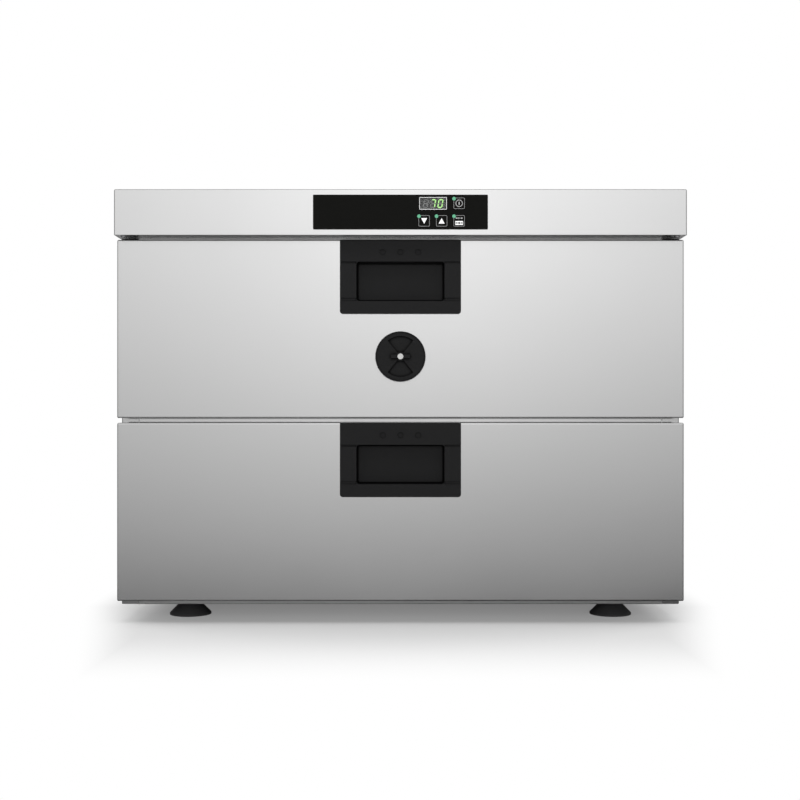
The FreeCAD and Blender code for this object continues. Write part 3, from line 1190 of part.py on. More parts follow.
def vent(axis_height):
    """A fixed body with two air ports, a disc that uncovers them in a quarter turn, and its pin."""
    well = "(Sizes.vent_proud - Sizes.vent_floor)"
    housing = body("vent_body", "0", FRONT_FACE, axis_height)
    pad(housing, "y", "-Sizes.vent_proud", "Sizes.vent_proud", (circle, "0", "0", "Sizes.vent_radius"))
    pad(housing, "y", "0", "Sizes.front_thick", (circle, "0", "0", "Sizes.vent_tube"))
    pocket(housing, "y", "-Sizes.vent_proud", well, (circle, "0", "0", "Sizes.vent_radius - Sizes.vent_rim"))
    bore = (circle, "0", "0", "Sizes.vent_tube - Sizes.vent_tube_wall")
    pocket(housing, "y", "0", "Sizes.front_thick", bore)
    ports = [
        (sector, towards, "Sizes.port_half", "Sizes.port_root", "Sizes.port_radius")
        for towards in (0, 180)
    ]
    pocket(housing, "y", "-Sizes.vent_floor", "Sizes.vent_floor", *ports)
    pocket(housing, "y", "-Sizes.vent_floor", "Sizes.vent_floor", (circle, "0", "0", "Sizes.pin_radius"))
    node(housing)
    disc_back = "(-Sizes.vent_floor - Sizes.disc_gap)"
    disc_face = f"({disc_back} - Sizes.disc_thick)"
    disc_radius = "Sizes.vent_radius - Sizes.vent_rim - Sizes.disc_gap"
    disc = body("vent_shutter", "0", FRONT_FACE, axis_height)
    pad(disc, "y", disc_face, "Sizes.disc_thick", (circle, "0", "0", disc_radius))
    windows = [
        (sector, towards, "Sizes.window_half", "Sizes.window_root", "Sizes.window_radius")
        for towards in (90, 270)
    ]
    pocket(disc, "y", disc_face, "Sizes.disc_thick", *windows)
    half_long = "(Sizes.grip_long / 2)"
    half_tall = "(Sizes.grip_tall / 2)"
    wing_face = f"{disc_face} - Sizes.grip_proud"
    wing = (rectangle, (f"-{half_long}", half_long), (f"-{half_tall}", half_tall))
    pad(disc, "y", wing_face, "Sizes.grip_proud", wing)
    head_room = (circle, "0", "0", "Sizes.pin_head + Sizes.disc_gap")
    pocket(disc, "y", wing_face, "Sizes.grip_proud", head_room)
    pocket(disc, "y", disc_face, "Sizes.disc_thick", (circle, "0", "0", "Sizes.pin_radius + Sizes.pin_fit"))
    node(disc)
    head_back = f"({disc_face} - Sizes.pin_fit)"
    head_at = ("0", f"{FRONT_FACE} + {head_back} - Sizes.pin_head_tall", axis_height)
    head = rod("pin_head_part", "y", "Sizes.pin_head", head_at, "Sizes.pin_head_tall")
    shank_at = ("0", f"{FRONT_FACE} + {head_back}", axis_height)
    shank = rod("pin_shank", "y", "Sizes.pin_radius", shank_at, f"-{head_back}")
    tail = rod("pin_tail", "y", "Sizes.pin_head", ("0", FRONT_FACE, axis_height), "Sizes.pin_head_tall")
    node(fuse("vent_pin", head, shank, tail))


def drawer(name, bottom, frame_top, has_vent):
    front_skin(name, bottom, has_vent)
    front_filling(name, bottom, has_vent)
    handle(name, f"{bottom} + Sizes.front_tall")
    gasket(name, bottom)
    pan_frame(name, frame_top)
    slides(name, frame_top)


for side_name, side_sign in SIDES.items():
    side_panel(side_name, side_sign)
rear_panel()
base_pan()
front_rails()
liners()
case_insulation()
feet()
foot_bolts()
case_screws()
hood()
compartment_floor()
control_fascia()
display()
indicator_lenses()
control_board()
keys()
power_parts()
heater()
element_cover()
temperature_probe()
drawer("lower", LOWER_FRONT, FRAME_TOP, has_vent=False)
drawer("upper", UPPER_FRONT, f"({FRAME_TOP} + {DRAWER_PITCH})", has_vent=True)
vent(f"{UPPER_FRONT} + Sizes.front_tall - Sizes.vent_drop")
doc.recompute()

# Nothing is written unless every feature and every piece is sound.
for item in doc.Objects:
    if {"Invalid", "Error"} & set(item.State):
        raise RuntimeError(f"{item.Label} failed: {item.State}")
    if item.TypeId == "PartDesign::Pocket" and item.Shape.Volume > item.BaseFeature.Shape.Volume - TINY:
        raise RuntimeError(f"{item.Label} cuts nothing")
for piece in nodes:
    if piece.Shape.isNull() or not piece.Shape.isValid() or not piece.Shape.Solids:
        raise RuntimeError(f"{piece.Label} has no sound shape")

os.makedirs("parts", exist_ok=True)
for piece in nodes:
    piece.Shape.exportStep(f"parts/{piece.Label}.step")
print(f"{len(nodes)} pieces written")
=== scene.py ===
import math

import bmesh
import bpy
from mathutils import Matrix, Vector


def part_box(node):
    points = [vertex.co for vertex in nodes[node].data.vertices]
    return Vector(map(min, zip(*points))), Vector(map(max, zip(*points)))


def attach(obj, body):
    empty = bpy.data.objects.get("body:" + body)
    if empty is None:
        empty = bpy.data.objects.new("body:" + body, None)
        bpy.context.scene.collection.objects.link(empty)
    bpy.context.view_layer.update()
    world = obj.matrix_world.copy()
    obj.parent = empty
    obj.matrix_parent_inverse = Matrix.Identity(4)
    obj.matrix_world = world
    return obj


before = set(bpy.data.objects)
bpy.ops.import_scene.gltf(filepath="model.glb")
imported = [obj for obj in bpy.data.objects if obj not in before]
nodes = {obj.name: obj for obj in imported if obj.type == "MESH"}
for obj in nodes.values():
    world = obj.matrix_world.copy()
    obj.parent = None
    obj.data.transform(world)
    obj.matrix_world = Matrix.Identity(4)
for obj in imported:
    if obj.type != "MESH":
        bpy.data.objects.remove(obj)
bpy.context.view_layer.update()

scene = bpy.context.scene
MM = 0.001

# The front is seen square on, with no tilt. Pixels are those of the 800 by 800 frame: the column of
# the object's middle, and the row at the camera's height.
FRAME_PIXELS = 800
CENTRE_PIXEL = 400.45
HORIZON_PIXEL = 412.0
LENS_MM = 54.0
SENSOR_MM = 36.0
CAMERA_AHEAD = 1.297
CAMERA_HEIGHT = 0.2325

hood_low, hood_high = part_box("hood")
window_low, window_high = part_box("display_window")


# ---------------------------------------------------------------- camera
def make_camera():
    data = bpy.data.cameras.new("camera")
    data.lens = LENS_MM
    data.sensor_width = SENSOR_MM
    data.shift_x = (FRAME_PIXELS / 2 - CENTRE_PIXEL) / FRAME_PIXELS
    data.shift_y = (HORIZON_PIXEL - FRAME_PIXELS / 2) / FRAME_PIXELS
    camera = bpy.data.objects.new("camera", data)
    camera.location = (0, hood_low.y - CAMERA_AHEAD, CAMERA_HEIGHT)
    camera.rotation_euler = (math.radians(90), 0, 0)
    scene.collection.objects.link(camera)
    scene.camera = camera
    scene.view_settings.view_transform = "Standard"


# ---------------------------------------------------------------- shader nodes
# The Mix node's sockets for each kind of value: first, second and result.
MIX_SOCKETS = {"FLOAT": (2, 3, 0), "VECTOR": (4, 5, 1), "RGBA": (6, 7, 2)}
# Most values of a noise lie between these.
NOISE_RANGE = (0.3, 0.7)
# Samples of the nodes that look round a point.
LOOK_SAMPLES = 8
# The share of a surface's colour that a painted shade leaves in crevices, standing in for their
# shadow.
PAINTED_SHADE_SHARE = 0.05
WHITE = (1, 1, 1, 1)


class Nodes:
    """Adds nodes to a tree and links them: a value that is a socket is linked, any other is set."""

    def __init__(self, tree):
        self.tree = tree
        tree.nodes.clear()

    def add(self, kind, inputs=None, **settings):
        """A node of that kind; inputs are named or numbered, settings are its own properties."""
        made = self.tree.nodes.new("ShaderNode" + kind)
        for name, value in settings.items():
            setattr(made, name, value)
        for name, value in (inputs or {}).items():
            if isinstance(value, bpy.types.NodeSocket):
                self.tree.links.new(value, made.inputs[name])
            else:
                made.inputs[name].default_value = value
        return made

    def place(self):
        return self.add("TexCoord").outputs["Object"]

    def parts(self, vector):
        """The X, Y and Z of a vector, by name."""
        return self.add("SeparateXYZ", {0: vector}).outputs

    def math(self, operation, first, second=0.0):
        return self.add("Math", {0: first, 1: second}, operation=operation).outputs[0]

    def total(self, first, *others):
        for other in others:
            first = self.math("ADD", first, other)
        return first

    def mix(self, kind, factor, first, second):
        """First where the factor is 0, and second where it is 1."""
        first_socket, second_socket, result = MIX_SOCKETS[kind]
        inputs = {0: factor, first_socket: first, second_socket: second}
        return self.add("Mix", inputs, data_type=kind).outputs[result]

    def tint(self, factor, dark, light):
        """A colour from dark to light; each of them is a triple or a colour socket."""
        ends = [
            end if isinstance(end, bpy.types.NodeSocket) else (*end, 1)
            for end in (dark, light)
        ]
        return self.mix("RGBA", factor, *ends)

    def noise(self, place, cells, detail=3.0, roughness=0.55):
        inputs = {"Vector": place, "Scale": cells, "Detail": detail, "Roughness": roughness}
        return self.add("TexNoise", inputs).outputs["Fac"]

    def spread(self, noise, low, high):
        """A noise, scaled so that most of it lies between low and high."""
        inputs = {
            "Value": noise, "From Min": NOISE_RANGE[0], "From Max": NOISE_RANGE[1],
            "To Min": low, "To Max": high,
        }
        return self.add("MapRange", inputs).outputs[0]

    def ease(self, value, limits, low=0.0, high=1.0):
        """A smooth step from low to high between two limits of a value."""
        inputs = {
            "Value": value, "From Min": limits[0], "From Max": limits[1],
            "To Min": low, "To Max": high,
        }
        return self.add("MapRange", inputs, interpolation_type="SMOOTHSTEP").outputs[0]

    def scaled(self, place, scale):
        return self.add("Mapping", {"Vector": place, "Scale": scale}).outputs[0]

    def bump(self, height, distance, strength=1.0, normal=None):
        inputs = {"Height": height, "Distance": distance, "Strength": strength}
        if normal is not None:
            inputs["Normal"] = normal
        return self.add("Bump", inputs).outputs[0]

    def glow(self, strength):
        return self.add("Emission", {"Color": WHITE, "Strength": strength}).outputs[0]

    def matt(self, level):
        return self.add("BsdfDiffuse", {"Color": (*grey(level), 1)}).outputs[0]

    def blend(self, factor, first, second):
        """A shader: first where the factor is 0, and second where it is 1."""
        return self.add("MixShader", {0: factor, 1: first, 2: second}).outputs[0]

    def surface(self, shader):
        self.add("OutputMaterial", {"Surface": shader})


def new_material(name):
    material = bpy.data.materials.new(name)
    material.use_nodes = True
    return material, Nodes(material.node_tree)


def finished(material, tree, inputs):
    """The material, with a principled shader that has those inputs."""
    tree.surface(tree.add("BsdfPrincipled", inputs).outputs[0])
    return material


def grey(level):
    return (level, level, level)


def share_of(colour, share):
    return tuple(part * share for part in colour)


def around(middle, sways):
    """The two values that lie below and above a middle by those sways."""
    return [middle + sway for sway in sways]


def painted_crevice_shade(tree, shade, colour, size, limits):
    """A painted shade in a colour, standing in for shadow: nearly black where the openness within
    that size is under the limits.
    """
    openness = tree.add("AmbientOcclusion", {"Distance": size}, samples=LOOK_SAMPLES).outputs["AO"]
    return tree.tint(tree.ease(openness, limits), share_of(colour, PAINTED_SHADE_SHARE), shade)


# ---------------------------------------------------------------- metals
# The brushed grain's cells per metre, along and across it, and its depth.
GRAIN_ALONG = 14.0
GRAIN_ACROSS = 2600.0
GRAIN_DEPTH = 0.004 * MM
# How far a full grain sways the roughness, and darkens and lightens the sheet.
GRAIN_STREAK = 0.05
GRAIN_DARK = 0.035
GRAIN_LIGHT = 0.02
# Clouds of polish: cells per metre, and how far they sway the roughness.
CLOUD_CELLS = 7.0
CLOUD_STREAK = 0.012
# A face points along an axis where that part of its normal is over this.
FACING = 0.7
# Undersides keep their mill finish, which is duller.
UNDER_DULLNESS = 0.35
# The openness at which the painted shade on a steel edge is darkest, and at which the sheet is as
# light as elsewhere.
STEEL_PAINTED_SHADE = (0.75, 0.99)

# Small metal parts: the share of their colour that blotches leave, how far these sway the
# roughness, and how many times finer the tooth is.
BLOTCH_SHARE = 0.82
BLOTCH_SWAYS = (-0.06, 0.08)
TOOTH_FINENESS = 12


def grain_place(tree, place, is_flat):
    """Coordinates whose cells are long in a sheet's plane and fine across it.

    On upright faces the grain is level; on flat faces it runs along X.
    """
    level_grain = tree.scaled(place, (GRAIN_ALONG, GRAIN_ALONG, GRAIN_ACROSS))
    flat_grain = tree.scaled(place, (GRAIN_ALONG, GRAIN_ACROSS, GRAIN_ALONG))
    return tree.mix("VECTOR", is_flat, level_grain, flat_grain)


def brushed_steel(name, level, roughness, grain=1.0, anisotropy=0.5,
                  under=UNDER_DULLNESS, flange=0.0, painted_shade_size=0.0, bend=0.0):
    """Satin sheet: fine level grain, a cloudy variation of polish, and a stretched highlight.

    Faces that point down are duller by under, and faces that point forwards are glossier by flange.
    With a crevice size, edges beside other pieces get a painted shade, standing in for their
    shadow, over about that width. With a bend radius, sharp edges shine as if they were bent.
    """
    material, tree = new_material(name)
    place = tree.place()
    facing = tree.parts(tree.add("NewGeometry").outputs["Normal"])
    is_flat = tree.math("GREATER_THAN", tree.math("ABSOLUTE", facing["Z"]), FACING)
    lines = tree.noise(grain_place(tree, place, is_flat), 1.0, detail=2.0, roughness=0.7)
    clouds = tree.noise(place, CLOUD_CELLS)
    dull_under = tree.math("MULTIPLY", tree.math("LESS_THAN", facing["Z"], -FACING), under)
    gloss_ahead = tree.math("MULTIPLY", tree.math("LESS_THAN", facing["Y"], -FACING), flange)
    streak = GRAIN_STREAK * grain
    finish = tree.total(
        tree.spread(lines, -streak, streak),
        tree.spread(clouds, -CLOUD_STREAK, CLOUD_STREAK),
        roughness,
        tree.math("SUBTRACT", dull_under, gloss_ahead),
    )
    dark, light = level * (1 - GRAIN_DARK * grain), level * (1 + GRAIN_LIGHT * grain)
    shade = tree.tint(lines, grey(dark), grey(light))
    # Painted shade: the colour darkens where other pieces close in, standing in for their shadow.
    if painted_shade_size:
        shade = painted_crevice_shade(tree, shade, grey(level), painted_shade_size, STEEL_PAINTED_SHADE)
    rounded = None
    if bend:
        rounded = tree.add("Bevel", {"Radius": bend}, samples=LOOK_SAMPLES).outputs["Normal"]
    return finished(material, tree, {
        "Base Color": shade,
        "Metallic": 1.0,
        "Roughness": finish,
        "Anisotropic": anisotropy,
        "Tangent": tree.mix("VECTOR", is_flat, (0, 0, 1), (0, 1, 0)),
        "Normal": tree.bump(lines, GRAIN_DEPTH * grain, 0.5, rounded),
    })


def plain_metal(name, colour, roughness, cells, depth):
    """A small metal part: zinc, rolled or heat-darkened, with blotches and a fine tooth."""
    material, tree = new_material(name)
    place = tree.place()
    blotches = tree.noise(place, cells, detail=4.0)
    tooth = tree.noise(place, cells * TOOTH_FINENESS, detail=2.0)
    return finished(material, tree, {
        "Base Color": tree.tint(blotches, share_of(colour, BLOTCH_SHARE), colour),
        "Metallic": 1.0,
        "Roughness": tree.spread(blotches, *around(roughness, BLOTCH_SWAYS)),
        "Normal": tree.bump(tooth, depth, 0.4),
    })


# ---------------------------------------------------------------- plastics, rubber and the rest
# Patches of gloss on moulded parts: cells per metre, the share of the colour that they leave, and
# how far they sway the roughness.
PATCH_CELLS = 25.0
PATCH_SHARE = 0.85
PATCH_SWAYS = (-0.04, 0.05)
# The openness at which the painted shade in a moulded corner is darkest, and at which the corner is
# as light as the rest.
MOULDED_PAINTED_SHADE = (0.5, 0.97)
# The darkest share of an uneven print or lamp.
UNEVEN_SHARE = 0.9


def moulded(name, colour, roughness, cells, depth, specular=0.5, painted_shade_size=0.0):
    """Moulded plastic or rubber: an even fine texture and a slightly uneven gloss.

    With a crevice size, grooves and corners about that wide get a painted shade, standing in for
    their shadow.
    """
    material, tree = new_material(name)
    place = tree.place()
    texture = tree.noise(place, cells, detail=2.0, roughness=0.6)
    patches = tree.noise(place, PATCH_CELLS)
    shade = tree.tint(patches, share_of(colour, PATCH_SHARE), colour)
    # Painted shade: grooves and corners darken, standing in for their shadow.
    if painted_shade_size:
        shade = painted_crevice_shade(tree, shade, colour, painted_shade_size, MOULDED_PAINTED_SHADE)
    return finished(material, tree, {
        "Base Color": shade,
        "Roughness": tree.spread(patches, *around(roughness, PATCH_SWAYS)),
        "Specular IOR Level": specular,
        "Normal": tree.bump(texture, depth, 0.5),
    })


def smoked_window(name):
    """A dark see-through film over the digits."""
    material, tree = new_material(name)
    return finished(material, tree, {
        "Base Color": (0.03, 0.034, 0.032, 1),
        "Roughness": tree.spread(tree.noise(tree.place(), 900.0), 0.1, 0.16),
        "Alpha": 0.3,
    })


def lit(name, colour, body_colour, strength):
    """A lit lamp or segment, slightly uneven."""
    material, tree = new_material(name)
    shine = tree.noise(tree.place(), 1500.0, detail=1.0)
    return finished(material, tree, {
        "Base Color": (*body_colour, 1),
        "Roughness": 0.25,
        "Emission Color": tree.tint(shine, share_of(colour, UNEVEN_SHARE), colour),
        "Emission Strength": strength,
    })


def mineral_wool(name):
    """Yellowish wool: tufts of long fibres."""
    material, tree = new_material(name)
    place = tree.place()
    fibres = tree.noise(tree.scaled(place, (900.0, 160.0, 160.0)), 1.0, detail=6.0, roughness=0.7)
    tufts = tree.noise(place, 90.0, detail=4.0)
    return finished(material, tree, {
        "Base Color": tree.tint(tufts, (0.30, 0.27, 0.17), (0.55, 0.51, 0.36)),
        "Roughness": 0.95,
        "Sheen Weight": 0.3,
        "Normal": tree.bump(fibres, 0.8 * MM, 0.8),
    })


def laminate(name):
    """Green circuit board with the weave of its glass cloth."""
    material, tree = new_material(name)
    weave = tree.noise(tree.scaled(tree.place(), (2500.0, 300.0, 2500.0)), 1.0, detail=2.0)
    return finished(material, tree, {
        "Base Color": tree.tint(weave, (0.008, 0.06, 0.02), (0.015, 0.11, 0.035)),
        "Roughness": 0.35,
        "Coat Weight": 0.4,
        "Normal": tree.bump(weave, 0.02 * MM, 0.5),
    })


def printed(name, level):
    """Screen-printed ink, slightly uneven."""
    material, tree = new_material(name)
    ink = tree.noise(tree.place(), 2500.0, detail=2.0)
    return finished(material, tree, {
        "Base Color": tree.tint(ink, grey(level * UNEVEN_SHARE), grey(level)),
        "Roughness": 0.45,
        "Normal": tree.bump(ink, 0.01 * MM, 0.4),
    })


# ---------------------------------------------------------------- the solids' materials
# Polished sheet shows less grain than the case does.
POLISHED = {"grain": 0.3, "anisotropy": 0.3}
FILM_BLACK = (0.0050, 0.0050, 0.0045)

SLOT_MATERIALS = {
    "front_steel": brushed_steel("front_steel", 0.80, 0.24, **POLISHED),
    "case_steel": brushed_steel("case_steel", 0.76, 0.38),
    "liner_steel": brushed_steel("liner_steel", 0.70, 0.30),
    "frame_steel": brushed_steel("frame_steel", 0.70, 0.34),
    "blanket": mineral_wool("mineral_wool"),
    # The handles' grooves, dimples and recesses get a painted shade, standing in for their shadows.
    "handle_plastic": moulded("handle_plastic", (0.0115, 0.0115, 0.0118), 0.5, 1900.0, 0.03 * MM,
                              specular=0.09, painted_shade_size=4 * MM),
    "pin_steel": plain_metal("pin_steel", (0.85, 0.85, 0.84), 0.3, 250.0, 0.01 * MM),
    "fascia_plastic": moulded("fascia_film", FILM_BLACK, 0.34, 3200.0, 0.01 * MM, specular=0.03),
    "key_plastic": moulded("key_film", FILM_BLACK, 0.36, 3200.0, 0.01 * MM, specular=0.03),
    "window_glass": smoked_window("smoked_window"),
    "module_plastic": moulded("module_plastic", grey(0.38), 0.5, 1500.0, 0.01 * MM),
    "lens_green": lit("lens_green", (0.07, 0.29, 0.16), (0.04, 0.15, 0.09), 0.9),
    "board_laminate": laminate("board_laminate"),
    "fastener_steel": plain_metal("zinc_steel", (0.72, 0.72, 0.74), 0.34, 400.0, 0.01 * MM),
    "foot_rubber": moulded("foot_rubber", (0.037, 0.037, 0.038), 0.62, 1200.0, 0.04 * MM,
                           specular=0.3),
    "seal_rubber": moulded("seal_rubber", grey(0.014), 0.7, 1400.0, 0.04 * MM),
    "slide_steel": plain_metal("zinc_slide", (0.66, 0.67, 0.69), 0.36, 120.0, 0.01 * MM),
    "element_alloy": plain_metal("heat_darkened_alloy", (0.30, 0.27, 0.24), 0.55, 150.0, 0.03 * MM),
    "probe_steel": plain_metal("probe_steel", (0.72, 0.72, 0.71), 0.28, 300.0, 0.01 * MM),
    "terminal_plastic": moulded("terminal_plastic", (0.62, 0.60, 0.54), 0.5, 1500.0, 0.02 * MM),
    "gland_plastic": moulded("gland_plastic", (0.02, 0.02, 0.021), 0.48, 1500.0, 0.02 * MM),
}

# What shows in the gaps is glossier than the case: the rails, the side panels' flanges and the
# compartment floor. Its edges get a painted shadow over this width beside the seals.
SEAL_PAINTED_SHADE = 2.7 * MM
# The base pan's rim shines as if it was bent to this radius.
RIM_BEND = 1.3 * MM
SIDE_STEEL = brushed_steel("side_steel", 0.76, 0.38, flange=0.25, painted_shade_size=SEAL_PAINTED_SHADE)
NODE_MATERIALS = {
    "side_panel_left": SIDE_STEEL,
    "side_panel_right": SIDE_STEEL,
    "front_rail_top": brushed_steel("rail_steel", 0.82, 0.13, **POLISHED),
    "front_rail_middle": brushed_steel("middle_rail_steel", 0.82, 0.13, painted_shade_size=SEAL_PAINTED_SHADE,
                                       **POLISHED),
    "base_pan": brushed_steel("base_steel", 0.76, 0.38, bend=RIM_BEND),
    "compartment_floor": brushed_steel("ceiling_steel", 0.61, 0.2, under=0.0, **POLISHED),
}


def dress_cad_nodes():
    """Each CAD node gets its own material, or else its slot's."""
    for name, piece in nodes.items():
        for held in piece.material_slots:
            slot = held.material.name.split(".")[0]
            held.material = NODE_MATERIALS.get(name, SLOT_MATERIALS[slot])


# ---------------------------------------------------------------- pieces made of outlines
CORNER_STEPS = 6
RING_STEPS = 40


def new_object(name, build, material):
    """A mesh object, filled by a function that gets its bmesh."""
    shape = bmesh.new()
    build(shape)
    mesh = bpy.data.meshes.new(name)
    shape.to_mesh(mesh)
    shape.free()
    mesh.materials.append(material)
    piece = bpy.data.objects.new(name, mesh)
    scene.collection.objects.link(piece)
    return piece


def mesh_piece(name, build, material, body):
    """A closed piece of the object, riding on a CAD body."""
    def build_closed(shape):
        build(shape)
        bmesh.ops.recalc_face_normals(shape, faces=shape.faces)
    piece = new_object(name, build_closed, material)
    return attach(piece, body)


def add_prism(shape, outline, y_front, y_back):
    """A closed prism along Y from an outline of (x, z) points."""
    rings = [[shape.verts.new((x, y, z)) for x, z in outline] for y in (y_front, y_back)]
    shape.faces.new(rings[0])
    shape.faces.new(list(reversed(rings[1])))
    count = len(outline)
    for i in range(count):
        j = (i + 1) % count
        shape.faces.new((rings[0][i], rings[1][i], rings[1][j], rings[0][j]))


def add_band(shape, outer, inner, y_front, y_back, is_loop=True):
    """A closed band along Y between two lines with equally many points.

    The band goes all the way round, or is a strip with two ends where the lines aren't loops.
    """
    loops = [
        [shape.verts.new((x, y, z)) for x, z in line]
        for line, y in ((outer, y_front), (inner, y_front), (inner, y_back), (outer, y_back))
    ]
    count = len(outer)
    for first, second in zip(loops, loops[1:] + loops[:1]):
        for i in range(count if is_loop else count - 1):
            j = (i + 1) % count
            shape.faces.new((first[i], first[j], second[j], second[i]))
    if not is_loop:
        for end in (0, -1):
            shape.faces.new([loop[end] for loop in loops])


def arc(centre, radius, start, end, steps=CORNER_STEPS):
    """Points on an arc; its start and end are in quarter turns."""
    points = []
    for step in range(steps + 1):
        angle = math.radians(90) * (start + (end - start) * step / steps)
        points.append((
            centre[0] + radius * math.cos(angle),
            centre[1] + radius * math.sin(angle),
        ))
    return points


def ring(centre, radius):
    return arc(centre, radius, 0, 4, RING_STEPS)[:-1]


def corner(centre, half, radius, side, level, start, end):
    """A rounded corner of a rectangle; side and level say which one, as 1 or -1."""
    middle = (
        centre[0] + side * (half[0] - radius),
        centre[1] + level * (half[1] - radius),
    )
    return arc(middle, radius, start, end)


def rounded_rectangle(centre, half, radius):
    """A closed outline; half holds half its width and half its height."""
    points = []
    for turn, (side, level) in enumerate(((1, 1), (-1, 1), (-1, -1), (1, -1))):
        points += corner(centre, half, radius, side, level, turn, turn + 1)
    return points


# ---------------------------------------------------------------- display
DIGIT_TALL = 9.6 * MM
DIGIT_WIDE = 5.6 * MM
DIGIT_PITCH = 7.9 * MM
DIGIT_STROKE = 1.25 * MM
DIGIT_SLANT = math.tan(math.radians(10))
DIGIT_GAP = 0.18 * MM
LAST_DIGIT_INSET = 6.5 * MM
LIT_THICK = 0.3 * MM
UNLIT_THICK = 0.04 * MM
# From the segments' backs to the window's back.
SEGMENT_INSET = 0.02 * MM
# Segments a to g of a digit: the middle, in half widths and heights, and whether it is level.
SEGMENTS = {
    "a": (0, 1, True), "b": (1, 0.5, False), "c": (1, -0.5, False), "d": (0, -1, True),
    "e": (-1, -0.5, False), "f": (-1, 0.5, False), "g": (0, 0, True),
}
# The lit segments of each place, from left to right: none, a 7 and a 0.
PLACES = ("", "abc", "abcdef")


def segment_outline(centre, name):
    """A hexagonal segment with pointed ends, sheared by the digits' slant."""
    across, up, is_level = SEGMENTS[name]
    half_stroke = DIGIT_STROKE / 2
    half_wide = DIGIT_WIDE / 2 - half_stroke
    half_tall = DIGIT_TALL / 2 - half_stroke
    reach = (half_wide if is_level else half_tall / 2) - DIGIT_GAP
    shoulder = reach - half_stroke
    flat = [
        (reach, 0), (shoulder, half_stroke), (-shoulder, half_stroke),
        (-reach, 0), (-shoulder, -half_stroke), (shoulder, -half_stroke),
    ]
    points = []
    for along, beside in flat:
        x, z = (along, beside) if is_level else (beside, along)
        x, z = across * half_wide + x, up * half_tall + z
        points.append((centre[0] + x + z * DIGIT_SLANT, centre[1] + z))
    return points


def make_digits():
    """A number on three places: one piece of lit segments, and one of unlit ones, seen faintly."""
    lit_green = lit("lit_segment", (0.56, 1.0, 0.36), (0.1, 0.3, 0.05), 1.15)
    unlit_grey = moulded("unlit_segment", (0.25, 0.255, 0.25), 0.5, 1500.0, 0.01 * MM)
    last_x = window_high.x - LAST_DIGIT_INSET
    middle_z = (window_low.z + window_high.z) / 2
    back = window_high.y - SEGMENT_INSET
    for label, material, slot, thickness in (
        ("lit", lit_green, "lens_green", LIT_THICK),
        ("unlit", unlit_grey, "module_plastic", UNLIT_THICK),
    ):
        def build(shape):
            for number, lit_names in enumerate(PLACES):
                centre = (last_x - (len(PLACES) - 1 - number) * DIGIT_PITCH, middle_z)
                for name in SEGMENTS:
                    if (name in lit_names) == (label == "lit"):
                        add_prism(shape, segment_outline(centre, name), back - thickness, back)
        mesh_piece(f"{label}_segments", build, material, "chassis")


# ---------------------------------------------------------------- prints
INK = 0.06 * MM

# The frame round the window: its line, and the outer and inner radius of its corners. It starts at
# the window's left end, and ends twice the shift past its right end.
FRAME_LINE = 0.65 * MM
FRAME_RADII = (0.7 * MM, 0.4 * MM)
FRAME_SHIFT = 0.2 * MM

# A key's lip is hidden behind the fascia, and its outline is set in from what shows. The radii are
# those of the outline's outer and inner edge.
KEY_LIP = 1.0 * MM
KEY_LINE = 0.45 * MM
KEY_LINE_INSET = 0.25 * MM
KEY_LINE_RADII = (1.3 * MM, 0.9 * MM)
# The outline stops this far from its corner at the lamp, along the top and down the side.
LAMP_GAP = (2.6 * MM, 3.1 * MM)

# The symbols: half widths and heights, radii, and offsets from the key's middle.
TRIANGLE_HALF = (3.25 * MM, 3.0 * MM)
POWER_RADII = (3.9 * MM, 3.2 * MM)
POWER_BAR_HALF = (0.6 * MM, 1.7 * MM)
POWER_BAR_RADIUS = 0.3 * MM
PLAY_UP = 3.0 * MM
PLAY_HALF = (0.9 * MM, 1.1 * MM)
STOP_UP = -2.3 * MM
STOP_HALF = (1.0 * MM, 1.0 * MM)
STOP_RADIUS = 0.1 * MM
BOX_HALF = (4.2 * MM, 2.1 * MM)
BOX_RADIUS = 0.3 * MM
DASH_OUT = 2.7 * MM
DASH_HALF = (1.1 * MM, 0.6 * MM)
DASH_RADIUS = 0.2 * MM


def make_display_frame(ink):
    centre = ((window_low.x + window_high.x) / 2 + FRAME_SHIFT, (window_low.z + window_high.z) / 2)
    half_wide = (window_high.x - window_low.x) / 2 + FRAME_SHIFT
    half_tall = (window_high.z - window_low.z) / 2

    def build(shape):
        outer, inner = (
            rounded_rectangle(centre, (half_wide - inset, half_tall - inset), radius)
            for inset, radius in zip((0, FRAME_LINE), FRAME_RADII)
        )
        add_band(shape, outer, inner, window_low.y - INK, window_low.y)
    mesh_piece("display_frame_print", build, ink, "chassis")


def open_square(centre, half_side, radius, inset):
    """A line round a key, from the right of its lamp to below it; the inset moves it inwards."""
    along, down = (gap - inset for gap in LAMP_GAP)
    reach = half_side - inset
    points = [(centre[0] - reach + along, centre[1] + reach)]
    for turn, (side, level) in enumerate(((1, 1), (1, -1), (-1, -1))):
        points += corner(centre, (reach, reach), radius, side, level, 1 - turn, -turn)
    points.append((centre[0] - reach, centre[1] + reach - down))
    return points


def add_print(shape, outline, face, layer=1):
    """Ink on a key's face; a second layer lies on the first."""
    add_prism(shape, outline, face - layer * INK, face - (layer - 1) * INK)


def add_dashes(shape, centre, face, layer=1):
    """Two short dashes, one on each side of a middle."""
    for side in (-1, 1):
        middle = (centre[0] + side * DASH_OUT, centre[1])
        add_print(shape, rounded_rectangle(middle, DASH_HALF, DASH_RADIUS), face, layer)


def power_symbol(shape, centre, face):
    """A ring with an upright bar."""
    outer, inner = (ring(centre, radius) for radius in POWER_RADII)
    add_band(shape, outer, inner, face - INK, face)
    add_print(shape, rounded_rectangle(centre, POWER_BAR_HALF, POWER_BAR_RADIUS), face)


